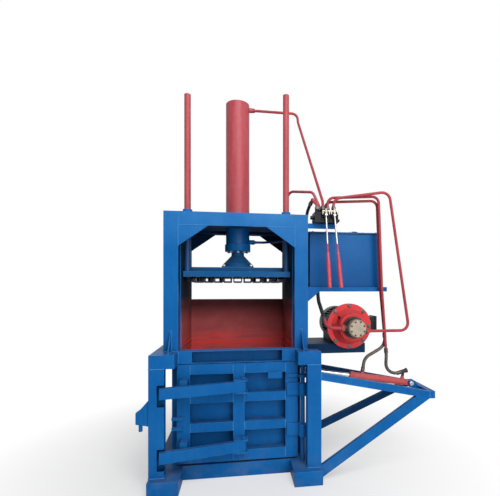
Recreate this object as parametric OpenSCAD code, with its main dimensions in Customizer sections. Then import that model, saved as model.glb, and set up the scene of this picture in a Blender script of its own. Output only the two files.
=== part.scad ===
// Vertical hydraulic baler with one bale box. Millimetres, +Z up.
// The origin is on the floor below the axis of the press cylinder, and -Y is the operator's side.

/* [Press frame] */
// Outer width over the posts
press_w = 1240; // [1180:5:1300]
// Depth from the front face to the back face of the posts
press_d = 930; // [900:5:980]
// Height of the top of the posts and beams
press_h = 2285; // [2250:5:2350]
// Width of a post's front face
post_w = 120; // [100:5:125]
// Depth of a post
post_d = 100; // [80:5:110]
// Height of the front and side top beams
beam_h = 115; // [110:5:140]
// Depth of a top beam, front to back
beam_d = 120; // [110:5:130]
// Height of the rear top beam
rear_beam_h = 63; // [50:1:100]
// Wall of the welded box sections
section_t = 8; // [5:1:10]
// Width of a corner gusset
gusset_w = 254; // [200:5:280]
// Height of a corner gusset
gusset_h = 180; // [140:5:200]
// Thickness of gussets and ribs
gusset_t = 12; // [8:1:16]
// Height of the ribs at the foot of the posts
post_rib_h = 180; // [120:5:220]
// Thickness of the deck that carries the cylinder
deck_t = 40; // [25:1:50]
// Height of the side rails that carry the tank
rail_h = 100; // [60:5:120]

/* [Bale box] */
// Thickness of the side walls
side_wall_t = 10; // [6:1:12]
// Inner depth of the box
box_d = 700; // [690:5:710]
// How far the columns stand out beyond the posts at each side
column_out = 80; // [70:5:100]
// Clear depth between the door's front and the columns
column_gap = 105; // [95:5:120]
// Width of a column
column_w = 120; // [100:5:125]
// Depth of a column
column_d = 80; // [60:5:90]
// Height of the base beams
base_h = 120; // [100:5:130]
// Width of a base skid
skid_w = 240; // [220:5:250]
// Length of a base skid
skid_d = 1420; // [1400:5:1480]
// Height of the collar's top
collar_top = 1095; // [1085:5:1120]
// Height of the collar beams
collar_h = 110; // [100:2:115]
// Width of the closed end of a lintel
lintel_end = 115; // [80:5:140]
// Thickness of the floor plate
floor_t = 12; // [8:1:20]
// Thickness of the rear wall plate
rear_plate_t = 15; // [10:1:15]
// Height of the rear wall above the collar
rear_wall_rise = 420; // [300:5:440]
// Depth of the upright stiffeners on the side walls
stiffener_w = 60; // [50:2:70]
// Distance of the middle stiffeners from the press axis
stiffener_y = 215; // [190:5:230]
// Width of the notches in the lock column
notch_w = 55; // [40:1:60]

/* [Press cylinder] */
// Outer diameter of the barrel
barrel_d = 230; // [210:2:240]
// Bore of the barrel
bore_d = 180; // [160:2:190]
// Height of the barrel above the beams
barrel_rise = 1160; // [1150:5:1200]
// Diameter of the press rod
rod_d = 100; // [80:1:110]
// Diameter of the gland
gland_d = 250; // [240:2:270]
// Depth of the gland's underside below the top of the beams
gland_drop = 292; // [285:1:300]
// Height of the gland
gland_h = 69; // [60:1:75]
// Diameter of the flange on the deck
flange_d = 330; // [310:2:350]
// Radial running clearance of rods and pins
run_fit = 0.05; // [0.03:0.01:0.1]

/* [Platen] */
// Gap between the platen and each side wall
platen_gap = 10; // [6:1:15]
// Depth of the platen
platen_d = 630; // [600:5:640]
// Distance from the gland down to the platen's top
platen_drop = 165; // [160:1:175]
// Height of the platen
platen_h = 95; // [80:1:100]
// Height of the edge band round the platen
band_h = 50; // [45:1:55]
// Thickness of the platen's plate
platen_plate_t = 20; // [15:1:25]
// Depth of each beam on the platen, front to back
platen_beam_d = 80; // [60:5:100]
// Distance of those beams' outer faces from the press axis
platen_beam_y = 195; // [170:5:205]
// Number of press channels below the platen
channel_n = 9; // [7:1:9]
// Pitch of the press channels
channel_pitch = 100; // [95:1:102]
// Width of a press channel
channel_w = 80; // [70:1:85]
// Height of a press channel
channel_h = 43; // [35:1:48]
// Wall of a press channel
channel_t = 5; // [4:1:8]
// Diameter of a guide rod
guide_d = 58; // [50:1:60]
// Distance of a guide rod's axis from the side wall
guide_in = 40; // [38:1:50]
// Distance of the guide rods in front of the press axis
guide_y = 250; // [240:1:260]
// Height of the left guide rod above the beams
left_guide_rise = 1100; // [1080:5:1180]
// Height of the right guide rod above the beams
right_guide_rise = 1162; // [1080:5:1180]
// Diameter of the rod flange on the platen
rod_flange_d = 285; // [260:5:300]

/* [Door] */
// How far the door laps the box on the lock side
door_lap_left = 21; // [15:1:30]
// How far the door laps the box on the hinge side
door_lap_right = 37; // [30:1:40]
// Gap between the door and the box
door_gap = 5; // [3:1:6]
// Thickness of the door's plate
door_plate_t = 10; // [8:1:12]
// Height of the door's ribs over the plate
door_rib_h = 95; // [80:1:100]
// Width of the door's upright ribs
stile_w = 110; // [90:2:120]
// Height of the door's cross ribs
cross_rib_h = 78; // [70:1:90]
// Distance of the hinge line from the hinge column's inner face
hinge_in = 14; // [10:1:16]
// Distance of the hinge line in front of the door
hinge_out = 30; // [28:1:34]
// Diameter of the hinge rod
hinge_d = 40; // [34:1:42]
// Diameter of a knuckle
knuckle_d = 76; // [70:1:78]
// Length of a knuckle
knuckle_h = 110; // [80:5:120]
// Depth of the upper lock arm's middle below the door's top
upper_arm_drop = 187; // [180:1:195]
// Height of the lower lock arm's middle above the door's foot
lower_arm_rise = 148; // [140:1:155]
// Height of a lock arm
arm_h = 88; // [80:1:92]
// Thickness of a lock arm
arm_t = 46; // [36:1:48]
// How far a lock arm reaches into the lock column
arm_reach = 36; // [28:1:40]
// How far the middle of a lock arm's tip stands in front of the column
arm_tip_out = 8; // [0:1:12]
// Diameter of a lock arm's pin
arm_pin_d = 30; // [24:1:34]

/* [Door cylinder] */
// Slope of the wing beams
wing_slope = 11.3; // [11:0.1:11.6]
// Reach of the wing beams beyond the column
wing_reach = 980; // [960:5:1000]
// Height of the wing beams
wing_h = 63; // [55:1:70]
// Width of the wing beams
wing_t = 40; // [35:1:45]
// Depth of the wing's top below the collar where it leaves the column
wing_drop = 70; // [60:1:80]
// Slope of the door cylinder
cyl_slope = 9; // [8.8:0.1:9.2]
// Outer diameter of the door cylinder
cyl_d = 62; // [58:1:70]
// Bore of the door cylinder
cyl_bore = 48; // [44:1:52]
// Diameter of the door cylinder's rod
cyl_rod_d = 32; // [28:1:34]
// Radius of the door's crank
crank_r = 95; // [94:1:96]
// Diameter of the crank's pin
crank_pin_d = 24; // [20:1:25]

/* [Hydraulics] */
// Width of the oil tank
tank_w = 665; // [640:5:680]
// Depth of the oil tank
tank_d = 460; // [430:5:470]
// Height of the oil tank
tank_h = 497; // [480:1:500]
// Depth of the shelf's top below the top of the beams
shelf_drop = 642; // [635:1:650]
// Wall of the oil tank
tank_t = 4; // [3:1:6]
// Height of the motor's axis above its base
motor_h = 160; // [158:1:165]
// Diameter of the motor's frame without fins
motor_d = 290; // [280:2:296]
// Height of the motor base's top above the collar
motor_base_rise = 40; // [35:1:45]
// Diameter of the bell housing's flange
bell_d = 400; // [380:5:410]
// Diameter of the pump's front cover
pump_d = 150; // [140:2:160]
// Diameter of the steel pipes
pipe_d = 25; // [20:1:28]
// Diameter of the pressure and return hoses
hose_d = 30; // [24:1:32]
// Diameter of the suction hose
suction_d = 34; // [30:1:38]
// Length of a valve lever
lever_len = 640; // [600:5:660]
// Length of a lever's grip
grip_len = 315; // [280:5:430]
// Sideways lean of the press lever
press_lever_lean = 3; // [0:0.5:6]
// Sideways lean of the door lever
door_lever_lean = 5.5; // [0:0.5:6]

/* [Hidden] */
$fn = 64;
eps = 0.5;
blue = "#1464b4";
red = "#c43a44";
black = "#1d1e20";
chrome = "#c9ccd0";
grey = "#9aa0a4";

press_x = press_w / 2;
press_y = press_d / 2;
post_in = press_x - post_w;
post_back = press_y - post_d;
beam_z = press_h - beam_h;
beam_back = press_y - beam_d;
rear_beam_z = press_h - rear_beam_h;
box_x = post_in - side_wall_t;
box_y = box_d / 2;
door_back = box_y + door_gap;
door_front = door_back + door_plate_t + door_rib_h;
lower_x = press_x + column_out;
lower_y = door_front + column_gap + column_d;
column_in = lower_x - column_w;
column_back = lower_y - column_d;
collar_z = collar_top - collar_h;
rear_wall_top = collar_top + rear_wall_rise;
shelf_z = press_h - shelf_drop;
shelf_h = 42;
rail_z = shelf_z - rail_h;
jamb_w = column_in - post_in - 10;
bearer_w = 80;

gland_z = press_h - gland_drop;
gland_top = gland_z + gland_h;
barrel_top = press_h + barrel_rise;
barrel_cap = 28;
top_port_z = barrel_top - 40;
low_port_z = gland_top + 28;
port_d = 46;
port_len = 28;
flange_h = 30;
bush_d = 100;
bush_h = 60;
guide_x = box_x - guide_in;
pipe_hole_x = box_x - 15;
pipe_hole_y = -170;

platen_x = box_x - platen_gap;
platen_y = platen_d / 2;
platen_top = gland_z - platen_drop;
platen_z = platen_top - platen_h;
band_top = platen_z + band_h;
rod_seat = 25;
cone_h = 85;
neck_h = 30;
rod_flange_h = 25;
rod_plate = 300;
rod_plate_t = 15;
rod_plate_z = platen_top + rod_plate_t;
cone_z = rod_plate_z + rod_flange_h;
neck_z = cone_z + cone_h;
rod_end_z = neck_z - rod_seat;
piston_h = 90;
piston_gap = 40;

door_left = box_x + door_lap_left;
door_right = box_x + door_lap_right;
door_z = base_h + floor_t + door_gap;
door_top = collar_z - door_gap;
leaf_t = 15;
hinge_x = column_in - hinge_in;
hinge_y = door_front + hinge_out;
knuckle_zs = [door_z + 193, door_top - 293];
upper_arm_z = door_top - upper_arm_drop;
lower_arm_z = door_z + lower_arm_rise;
arm_zs = [lower_arm_z, upper_arm_z];
arm_pin_x = 50;
arm_pin_y = door_front + 48;
arm_across = column_in + arm_reach + arm_pin_x;
arm_out = lower_y + arm_tip_out - arm_pin_y;
arm_len = norm([arm_across, arm_out]);
arm_angle = atan2(arm_out, arm_across);
notch_below = 66;
notch_above = 20;
lug_z = collar_z - 345;

crank_half = 47.5;
crank_t = 22;
crank_z = door_top - 130;
pin_x = hinge_x + crank_r * sin(crank_half);
pin_y = hinge_y - crank_r * cos(crank_half);
crank_pin_h = 75;
yoke_room = 5;
yoke_wall = 22;
yoke_t = 30;
yoke_z = crank_z + 2 * crank_t;
slot_len = crank_r * (1 - cos(crank_half)) + crank_pin_d + 2 * yoke_room;
slot_y = hinge_y - crank_r * (1 + cos(crank_half)) / 2;
yoke_w = crank_pin_d + 2 * yoke_room + 2 * yoke_wall;
yoke_x1 = pin_x + yoke_w / 2;

wing_x = lower_x + wing_reach;
wing_z = collar_z - wing_drop;
wing_end_w = 50;
cyl_y = slot_y;
cyl_len = 515;
cyl_pin_x = wing_x - 70;
cyl_x0 = cyl_pin_x - 580;
cyl_wall = 24;
cyl_stroke = 2 * crank_r * sin(crank_half);
cyl_port_h = 16;
cyl_ports = [107, cyl_len - 12];
elbow_rise = 51;
elbow_slope = 15;
elbow_d = 36;
elbow_left = 24;
elbow_right = 38;

tank_x = press_x + 35;
tank_y = -post_back;
lid_t = 12;
lid_over = 10;
lid_top = shelf_z + tank_h + lid_t;
shelf_x = tank_x + tank_w + 65;
shelf_leg = 60;
motor_x = lower_x + 280;
motor_base_z = collar_top + motor_base_rise;
motor_z = motor_base_z + motor_h;
bell_y = 130 - lower_y;
motor_base_y = bell_y + 35;
motor_base_d = 430;
base_beam_w = 70;
base_beam_h = 85;
bell_len = 125;
bell_nose_d = 240;
pump_y = bell_y - 250;
motor_len = 375;
motor_y = bell_y + 10;
fan_y = motor_y + motor_len;
fan_len = 115;
shaft_d = 42;
cover_over = 30;
pad_h = 10;
foot_gauge = 127;
foot_w = 60;
pump_port_x = 95;
pump_port_y = bell_y - 175;
pump_out_z = motor_z - 28;
valve_y = -press_y - 60;
valve_d = 120;
valve_x0 = press_x + 48;
valve_w = 212;
valve_x1 = valve_x0 + valve_w;
bracket_z = press_h - 122;
bracket_h = 46;
valve_z = bracket_z + bracket_h;
valve_h = 92;
lever_xs = [valve_x0 + 95, valve_x0 + 171];
lever_z = valve_z + 62;
lever_d = 16;
lever_y = valve_y - 24;
lever_pin_d = 12;
port_boss_d = 38;
port_top = valve_z + valve_h + 34;

// Port places on the valve's top, from left to right
return_port = [valve_x0 + 32, valve_y + 55];
press_low_port = [valve_x0 + 64, valve_y + 95];
press_top_port = [valve_x0 + 84, valve_y + 55];
door_rod_port = [valve_x0 + 114, valve_y + 95];
door_cap_port = [valve_x0 + 128, valve_y + 55];
pump_port = [valve_x0 + 178, valve_y + 35];

// Corners and ends of the pipes that carry on as hoses
return_corner = [press_x + 44, valve_y + 79, port_top + 89];
return_end = return_corner + [-3, 43, -13];
suction_corner = [motor_x - 242, pump_port_y, motor_z];
suction_end = suction_corner + [2, 94, 57];
door_cap_corner = [shelf_x - 79, door_cap_port.y, shelf_z - 3];
door_rod_corner = [shelf_x - 79, door_rod_port.y, shelf_z - 3];
door_cap_end = [shelf_x - 40, door_cap_port.y, wing_z + 165];
door_rod_end = [shelf_x - 39, door_rod_port.y, wing_z + 300];
hose_gap = 0.3;

function unit(v) = v / norm(v);

// A place above the valve's ports, and one in front of a port of the press cylinder
function over_port(port, h) = [port.x, port.y, port_top + h];
function past_port(z, d) = [barrel_d / 2 + port_len + d, 0, z];

// A place d beyond the end of a pipe, in line with its last run
function beyond(corner, end, d) = end + d * unit(end - corner);

// The door cylinder's axis, and a place d above its port at the given distance along the barrel
function cyl_z(x) = yoke_z - (x - pin_x) * tan(cyl_slope);
function cyl_port(at, d) = [
    cyl_x0 + at * cos(cyl_slope) + (cyl_d / 2 + cyl_port_h + d) * sin(cyl_slope), -cyl_y,
    cyl_z(cyl_x0) - at * sin(cyl_slope) + (cyl_d / 2 + cyl_port_h + d) * cos(cyl_slope)
];

// A place on the axis of the elbow over the cap end's port, d to the right of its middle
function on_elbow(d) = cyl_port(cyl_ports[1], elbow_rise) + d * [cos(elbow_slope), 0, sin(elbow_slope)];

// Routes of the steel pipes, corner by corner
press_top_route = [
    over_port(press_top_port, 0), over_port(press_top_port, 70), [press_x - 16, 0, top_port_z - 80],
    [press_x - 16, 0, top_port_z], past_port(top_port_z, 0)
];
press_low_route = [
    over_port(press_low_port, 0), over_port(press_low_port, 30),
    [press_x + 56, valve_y + 125, port_top + 171],
    [pipe_hole_x, pipe_hole_y, port_top + 231], [pipe_hole_x, pipe_hole_y, low_port_z],
    past_port(low_port_z, 110), past_port(low_port_z, 0)
];
door_cap_route = [
    over_port(door_cap_port, 0), over_port(door_cap_port, 105),
    [shelf_x - 110, door_cap_port.y, port_top + 135], door_cap_corner, door_cap_end
];
door_rod_route = [
    over_port(door_rod_port, 0), over_port(door_rod_port, 75),
    [shelf_x - 110, door_rod_port.y, port_top + 105], door_rod_corner, door_rod_end
];
pump_route = [
    over_port(pump_port, 0), over_port(pump_port, 95), [shelf_x - 30, pump_port.y - 30, port_top + 170],
    [shelf_x + 77, pump_port_y, pump_out_z], [motor_x + pump_port_x, pump_port_y, pump_out_z]
];
return_pipe_route = [over_port(return_port, 0), over_port(return_port, 40), return_corner, return_end];
suction_pipe_route = [[motor_x - pump_port_x, pump_port_y, motor_z], suction_corner, suction_end];

// Routes of the hoses, point by point
return_route = [
    beyond(return_corner, return_end, hose_gap), beyond(return_corner, return_end, 20),
    beyond(return_corner, return_end, 40), [657, -330, 2388], [656, -296, 2376], [655, -262, 2362],
    [656, -230, 2346], [658, -201, 2327], [661, -176, 2304], [664, -155, 2278], [667, -139, 2250],
    [669, -128, 2221], [670, -122, 2190], [670, -121, lid_top + 18], [670, -121, lid_top]
];
suction_route = [
    [745, -300, shelf_z], [745, -300, shelf_z - 17], [745, -300, shelf_z - 33], [745, -305, 1574],
    [745, -319, 1540], [744, -341, 1511], [744, -367, 1491], [744, -395, 1474], [743, -424, 1456],
    [743, -452, 1439], [742, -481, 1422], [742, -510, 1404], [741, -538, 1387], [741, -567, 1370],
    beyond(suction_corner, suction_end, hose_gap)
];
cap_hose_route = [
    beyond(door_cap_corner, door_cap_end, hose_gap), beyond(door_cap_corner, door_cap_end, 20),
    beyond(door_cap_corner, door_cap_end, 40), [1350, -468, 1009], [1351, -463, 978], [1353, -455, 947],
    [1356, -449, 926], [1363, -442, 906], [1373, -435, 888], [1386, -428, 872], [1402, -422, 858],
    [1420, -417, 847], [1439, -414, 840], [1460, -412, 836], [1481, -411, 836],
    on_elbow(-elbow_left - 16), on_elbow(-elbow_left - hose_gap)
];
rod_hose_route = [
    beyond(door_rod_corner, door_rod_end, hose_gap), beyond(door_rod_corner, door_rod_end, 18),
    beyond(door_rod_corner, door_rod_end, 36), [1351, -430, 1162], [1350, -430, 1147], [1347, -430, 1131],
    [1341, -430, 1117], [1334, -430, 1103], [1324, -429, 1090], [1309, -429, 1076], [1292, -428, 1064],
    [1266, -426, 1049], [1239, -424, 1033], [1212, -421, 1018], [1199, -419, 1009], [1187, -417, 999],
    [1177, -415, 987], [1168, -413, 974], [1161, -412, 960], [1157, -411, 945],
    cyl_port(cyl_ports[0], 72), cyl_port(cyl_ports[0], 40), cyl_port(cyl_ports[0], hose_gap)
];

// A box between two places on each axis
module block(x, y, z) {
    translate([x[0], y[0], z[0]]) cube([x[1] - x[0], y[1] - y[0], z[1] - z[0]]);
}

// A welded box section, closed at both ends
module box_section(x, y, z, t = section_t) {
    difference() {
        block(x, y, z);
        block([x[0] + t, x[1] - t], [y[0] + t, y[1] - t], [z[0] + t, z[1] - t]);
    }
}

module both_sides() {
    children();
    mirror([1, 0, 0]) children();
}

module front_and_back() {
    children();
    mirror([0, 1, 0]) children();
}

// A flat plate cut to an outline in X and Z, with its front face at y
module plate_xz(points, y, t) {
    translate([0, y + t, 0]) rotate([90, 0, 0]) linear_extrude(t) polygon(points);
}

// A flat plate cut to an outline in Y and Z, with its left face at x
module plate_yz(points, x, t) {
    translate([x, 0, 0]) rotate([90, 0, 90]) linear_extrude(t) polygon(points);
}

// A turned piece with its axis along Y, drawn as radius and Y
module turned_y(points, x, z) {
    translate([x, 0, z]) rotate([-90, 0, 0]) rotate_extrude() polygon(points);
}

// Points of a round bend between two straight runs
function bend(a, b, c, r, n) =
    let (u = unit(a - b), w = unit(c - b), half = acos(u * w) / 2)
    let (t = r / tan(half), middle = b + unit(u + w) * r / sin(half))
    let (e1 = (b + u * t - middle) / r, e2 = (b + w * t - middle) / r, turn = 180 - 2 * half)
    [for (k = [0:n]) middle + r * (sin(turn * (1 - k / n)) * e1 + sin(turn * k / n) * e2) / sin(turn)];

// A route of straight runs with each corner bent to radius r
function bent(p, r, n = 5) =
    [p[0], for (i = [1:len(p) - 2]) each bend(p[i - 1], p[i], p[i + 1], r, n), p[len(p) - 1]];

// The sideways direction carried along a route from ring to ring
function carried(p, i) =
    let (along = unit(p[min(i + 1, len(p) - 1)] - p[max(i - 1, 0)]))
    let (before = i == 0 ? (abs(along.z) > 0.9 ? [1, 0, 0] : [0, 0, 1]) : carried(p, i - 1))
    unit(before - along * (before * along));

// A round bar or hose along a route
module swept(p, d, sides = 12) {
    rings = [for (i = [0:len(p) - 1])
        let (along = unit(p[min(i + 1, len(p) - 1)] - p[max(i - 1, 0)]))
        let (side = carried(p, i), up = cross(along, side))
        for (k = [0:sides - 1]) p[i] + d / 2 * (cos(360 * k / sides) * side + sin(360 * k / sides) * up)];
    last = sides * (len(p) - 1);
    walls = [for (i = [0:len(p) - 2]) for (k = [0:sides - 1])
        [i * sides + k, (i + 1) * sides + k, (i + 1) * sides + (k + 1) % sides, i * sides + (k + 1) % sides]];
    start = [for (k = [0:sides - 1]) k];
    end = [for (k = [sides - 1:-1:0]) last + k];
    polyhedron(rings, concat(walls, [start, end]), convexity = 6);
}

// Skids, sills and the bearers below the floor
module base_beams() color(blue) {
    both_sides() box_section([lower_x - skid_w, lower_x], [-skid_d / 2, skid_d / 2], [0, base_h]);
    sill_in = lower_x - skid_w;
    front_and_back() difference() {
        block([-sill_in, sill_in], [-door_front, -door_back], [0, base_h]);
        block([-sill_in - eps, sill_in + eps], [section_t - door_front, -box_y],
            [section_t, base_h - section_t]);
    }
    for (y = [-box_y / 2, 0, box_y / 2]) difference() {
        block([-sill_in, sill_in], [y - bearer_w / 2, y + bearer_w / 2], [0, base_h]);
        block([-sill_in - eps, sill_in + eps], [y - bearer_w / 2 + section_t, y + bearer_w / 2 + eps],
            [section_t, base_h - section_t]);
    }
}

module plain_column() {
    box_section([column_in, lower_x], [-lower_y, -column_back], [base_h, collar_z]);
}

// The left front column, notched on its inner edge for the lock arms
module lock_column() color(blue) {
    difference() {
        mirror([1, 0, 0]) plain_column();
        for (z = arm_zs)
            block([-column_in - notch_w, eps - column_in], [-lower_y - eps, -column_back - section_t],
                [z - arm_h / 2 - notch_below, z + arm_h / 2 + notch_above]);
    }
}

// The hinge column and the two rear columns
module columns() color(blue) {
    plain_column();
    mirror([0, 1, 0]) both_sides() plain_column();
}

module collar_beams() color(blue) {
    both_sides() box_section([post_in, lower_x], [-lower_y, lower_y], [collar_z, collar_top]);
}

// Channels between the collar beams, open to the outside, with closed ends
module lintels() color(blue) {
    pocket_x = post_in - lintel_end;
    front_and_back() difference() {
        block([-post_in, post_in], [-press_y, -post_back], [collar_z, collar_top]);
        block([-pocket_x, pocket_x], [-press_y - eps, -post_back - section_t],
            [collar_z + section_t, collar_top - section_t]);
    }
}

module chamber_floor() color(red) {
    block([-box_x, box_x], [-box_y, box_y], [base_h, base_h + floor_t]);
}

module side_walls() color(red) {
    both_sides() block([box_x, post_in], [-box_y, box_y], [base_h, beam_z]);
}

// The rear wall: one plate, ribbed outside below and above the rear lintel
module rear_wall() color(red) {
    rib_y = box_y + rear_plate_t;
    rib_out = press_y - 10;
    rib_w = 80;
    block([-post_in, post_in], [box_y, rib_y], [base_h, rear_wall_top]);
    for (x = [rib_w / 2 - box_x, 0, box_x - rib_w / 2], z = [[base_h, collar_z], [collar_top, rear_wall_top]])
        block([x - rib_w / 2, x + rib_w / 2], [rib_y, rib_out], z);
    for (z = [base_h, (base_h + collar_z - rib_w) / 2, rear_wall_top - rib_w])
        block([-box_x, box_x], [rib_y, rib_out], [z, z + rib_w]);
}

// Upright channels on the side walls below the collar, and the rails above it
module wall_stiffeners() color(blue) {
    both_sides() front_and_back() {
        difference() {
            block([post_in, post_in + jamb_w], [-box_y, -box_y + stiffener_w], [base_h, collar_z]);
            block([post_in - eps, post_in + jamb_w - section_t],
                [section_t - box_y, stiffener_w - box_y - section_t], [base_h - eps, collar_z + eps]);
        }
        difference() {
            block([post_in, post_in + stiffener_w],
                [-stiffener_y - stiffener_w / 2, stiffener_w / 2 - stiffener_y], [base_h, collar_z]);
            block([post_in - eps, post_in + stiffener_w - section_t],
                [section_t - stiffener_y - stiffener_w / 2, stiffener_w / 2 - stiffener_y - section_t],
                [base_h - eps, collar_z + eps]);
        }
    }
    both_sides() box_section([post_in, press_x], [-post_back, post_back], [rail_z, shelf_z]);
}

module posts() color(blue) both_sides() front_and_back()
    box_section([post_in, press_x], [-press_y, -post_back], [collar_top, press_h]);

// Beams between the posts, flush with their tops
module top_beams() color(blue) {
    box_section([-post_in, post_in], [-press_y, -beam_back], [beam_z, press_h]);
    box_section([-post_in, post_in], [beam_back, press_y], [rear_beam_z, press_h]);
    both_sides() box_section([post_in, press_x], [-post_back, post_back], [beam_z, press_h]);
}

// Corner plates of the press openings, and the ribs at the foot of the posts
module gussets() color(blue) both_sides() {
    plate_xz([[post_in, beam_z], [post_in - gusset_w, beam_z], [post_in, beam_z - gusset_h]],
        -press_y, gusset_t);
    plate_xz([[post_in, rear_beam_z], [post_in - gusset_w, rear_beam_z], [post_in, rear_beam_z - gusset_h]],
        press_y - gusset_t, gusset_t);
    rib_x = post_in + post_w / 2 - gusset_t / 2;
    rib_d = (lower_y - press_y) * 0.75;
    front_and_back() plate_yz([[-press_y, collar_top], [-press_y - rib_d, collar_top],
        [-press_y, collar_top + post_rib_h]], rib_x, gusset_t);
}

module deck_plate() color(blue) {
    difference() {
        block([-post_in, post_in], [-beam_back, beam_back], [press_h - deck_t, press_h]);
        translate([0, 0, press_h - deck_t - eps]) {
            cylinder(h = deck_t + 2 * eps, d = barrel_d + 2);
            for (s = [-1, 1]) translate([s * guide_x, -guide_y, 0])
                cylinder(h = deck_t + 2 * eps, d = guide_d + 4);
            translate([pipe_hole_x, pipe_hole_y, 0]) cylinder(h = deck_t + 2 * eps, d = pipe_d + 9);
        }
    }
}

module guide_bushes() color(blue) {
    for (s = [-1, 1]) translate([s * guide_x, -guide_y, press_h]) difference() {
        union() {
            cylinder(h = bush_h, d = guide_d + 26);
            cylinder(h = 15, d = bush_d);
        }
        translate([0, 0, -eps]) cylinder(h = bush_h + 2 * eps, d = guide_d + 2 * run_fit);
    }
}

// The barrel with its welded cap, its flange on the deck and its two ports
module press_barrel() color(red) {
    difference() {
        union() {
            translate([0, 0, gland_top]) cylinder(h = barrel_top - gland_top, d = barrel_d);
            translate([0, 0, press_h]) cylinder(h = flange_h, d = flange_d);
            for (z = [top_port_z, low_port_z]) translate([barrel_d / 2 - 15, 0, z])
                rotate([0, 90, 0]) cylinder(h = port_len + 15, d = port_d);
        }
        translate([0, 0, gland_top - eps]) cylinder(h = barrel_top - barrel_cap - gland_top + eps, d = bore_d);
    }
}

module cylinder_gland() color(blue) {
    translate([0, 0, gland_z]) difference() {
        cylinder(h = gland_h, d = gland_d);
        translate([0, 0, -eps]) cylinder(h = gland_h + 2 * eps, d = rod_d + 2 * run_fit);
    }
}

module hinge_rod() color(red) {
    translate([hinge_x, -hinge_y, base_h]) cylinder(h = collar_z - base_h, d = hinge_d);
}

// A lug with a hanging pin on the outside of the lock column
module side_lug() color(blue) {
    lug_y = -lower_y + 20;
    plate_xz([[-lower_x, lug_z + 100], [-lower_x - 70, lug_z + 20], [-lower_x - 100, lug_z],
        [-lower_x - 100, lug_z - 90], [-lower_x, lug_z - 110]], lug_y, 36);
    translate([-lower_x - 65, lug_y + 18, lug_z - 150]) cylinder(h = 80, d = 30);
}

function wing_top(x) = wing_z - (x - lower_x) * tan(wing_slope);

// A channel along the slope from x0 to the wing's end, with its web to the front
module wing_beam(x0, y) {
    difference() {
        plate_xz([[x0, wing_top(x0)], [wing_x, wing_top(wing_x)],
            [wing_x, wing_top(wing_x) - wing_h], [x0, wing_top(x0) - wing_h]], y, wing_t);
        plate_xz([[x0 - eps, wing_top(x0 - eps) - section_t],
            [wing_x + eps, wing_top(wing_x + eps) - section_t],
            [wing_x + eps, wing_top(wing_x + eps) - wing_h + section_t],
            [x0 - eps, wing_top(x0 - eps) - wing_h + section_t]], y + section_t, wing_t);
    }
}

module wing_beams() color(blue) {
    rear_y = -stiffener_y - wing_t / 2;
    end_z = wing_top(wing_x);
    wing_beam(lower_x, -lower_y);
    wing_beam(post_in + stiffener_w, rear_y);
    difference() {
        block([wing_x - eps, wing_x + wing_end_w], [-lower_y, rear_y + wing_t], [end_z - wing_h, end_z]);
        block([wing_x + section_t, wing_x + wing_end_w + eps],
            [-lower_y + section_t, rear_y + wing_t - section_t],
            [end_z - wing_h + section_t, end_z - section_t]);
    }
}

// A brace from z0 at x0 up to the underside of a wing beam at its end
module wing_brace(x0, z0, depth, y) {
    end_z = wing_top(wing_x) - wing_h;
    rise = (end_z - z0) / (wing_x - x0);
    under = wing_top(x0) - wing_h;
    meet = (under - z0 - depth) / (rise + tan(wing_slope));
    plate_xz([[x0, z0], [x0, z0 + depth], [x0 + meet, under - meet * tan(wing_slope)], [wing_x, end_z]],
        y, wing_t);
}

module wing_braces() color(blue) {
    wing_brace(lower_x, 25, 105, -lower_y);
    wing_brace(post_in + stiffener_w, 180, 70, -stiffener_y - wing_t / 2);
}

// Places children on the door cylinder's axis at x, with local +X along the axis
module on_axis(x) {
    translate([x, -cyl_y, cyl_z(x)]) rotate([0, cyl_slope, 0]) children();
}

module along_x(h, d) {
    rotate([0, 90, 0]) cylinder(h = h, d = d);
}

// Two lugs with a pin, welded to the wing's end
module clevis_bracket() color(blue) {
    eye_z = cyl_z(cyl_pin_x);
    end_z = wing_top(wing_x);
    web_x = wing_x - eps;
    for (y = [-cyl_y - 34, -cyl_y + 18])
        plate_xz([[web_x, end_z], [wing_x - 50, eye_z + 26], [cyl_pin_x - 26, eye_z + 26],
            [cyl_pin_x - 26, eye_z - 26], [web_x, end_z - wing_h]], y, 16);
    translate([cyl_pin_x, -cyl_y - 40, eye_z]) rotate([-90, 0, 0]) cylinder(h = 80, d = crank_pin_d);
}

// The barrel with its gland end, rear eye and two ports on top, one with an elbow
module door_barrel() color(red) {
    eye_at = (cyl_pin_x - cyl_x0) / cos(cyl_slope);
    difference() {
        union() {
            on_axis(cyl_x0) along_x(cyl_len, cyl_d);
            on_axis(cyl_x0) translate([-12, 0, 0]) along_x(36, cyl_d + 10);
            for (at = cyl_ports) on_axis(cyl_x0) translate([at, 0, cyl_d / 2 - 10])
                cylinder(h = cyl_port_h + 10, d = 34);
            on_axis(cyl_x0) translate([cyl_ports[1], 0, cyl_d / 2])
                cylinder(h = cyl_port_h + elbow_rise, d = 26);
            translate(on_elbow(-elbow_left)) rotate([0, -elbow_slope, 0])
                along_x(elbow_left + elbow_right, elbow_d);
            translate(on_elbow(elbow_right - 14)) rotate([0, -elbow_slope, 0]) along_x(14, elbow_d + 8);
            on_axis(cyl_x0) translate([cyl_len - 1, -15, -22]) cube([eye_at - cyl_len + 1, 30, 44]);
            on_axis(cyl_x0) translate([eye_at, 15, 0]) rotate([90, 0, 0]) cylinder(h = 30, d = 44);
        }
        on_axis(cyl_x0) translate([cyl_wall, 0, 0]) along_x(cyl_len - 2 * cyl_wall, cyl_bore);
        on_axis(cyl_x0) translate([-20, 0, 0]) along_x(cyl_wall + 26, cyl_rod_d + 2 * run_fit);
        on_axis(cyl_x0) translate([eye_at, 20, 0]) rotate([90, 0, 0]) cylinder(h = 40, d = crank_pin_d + 0.4);
    }
}

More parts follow.
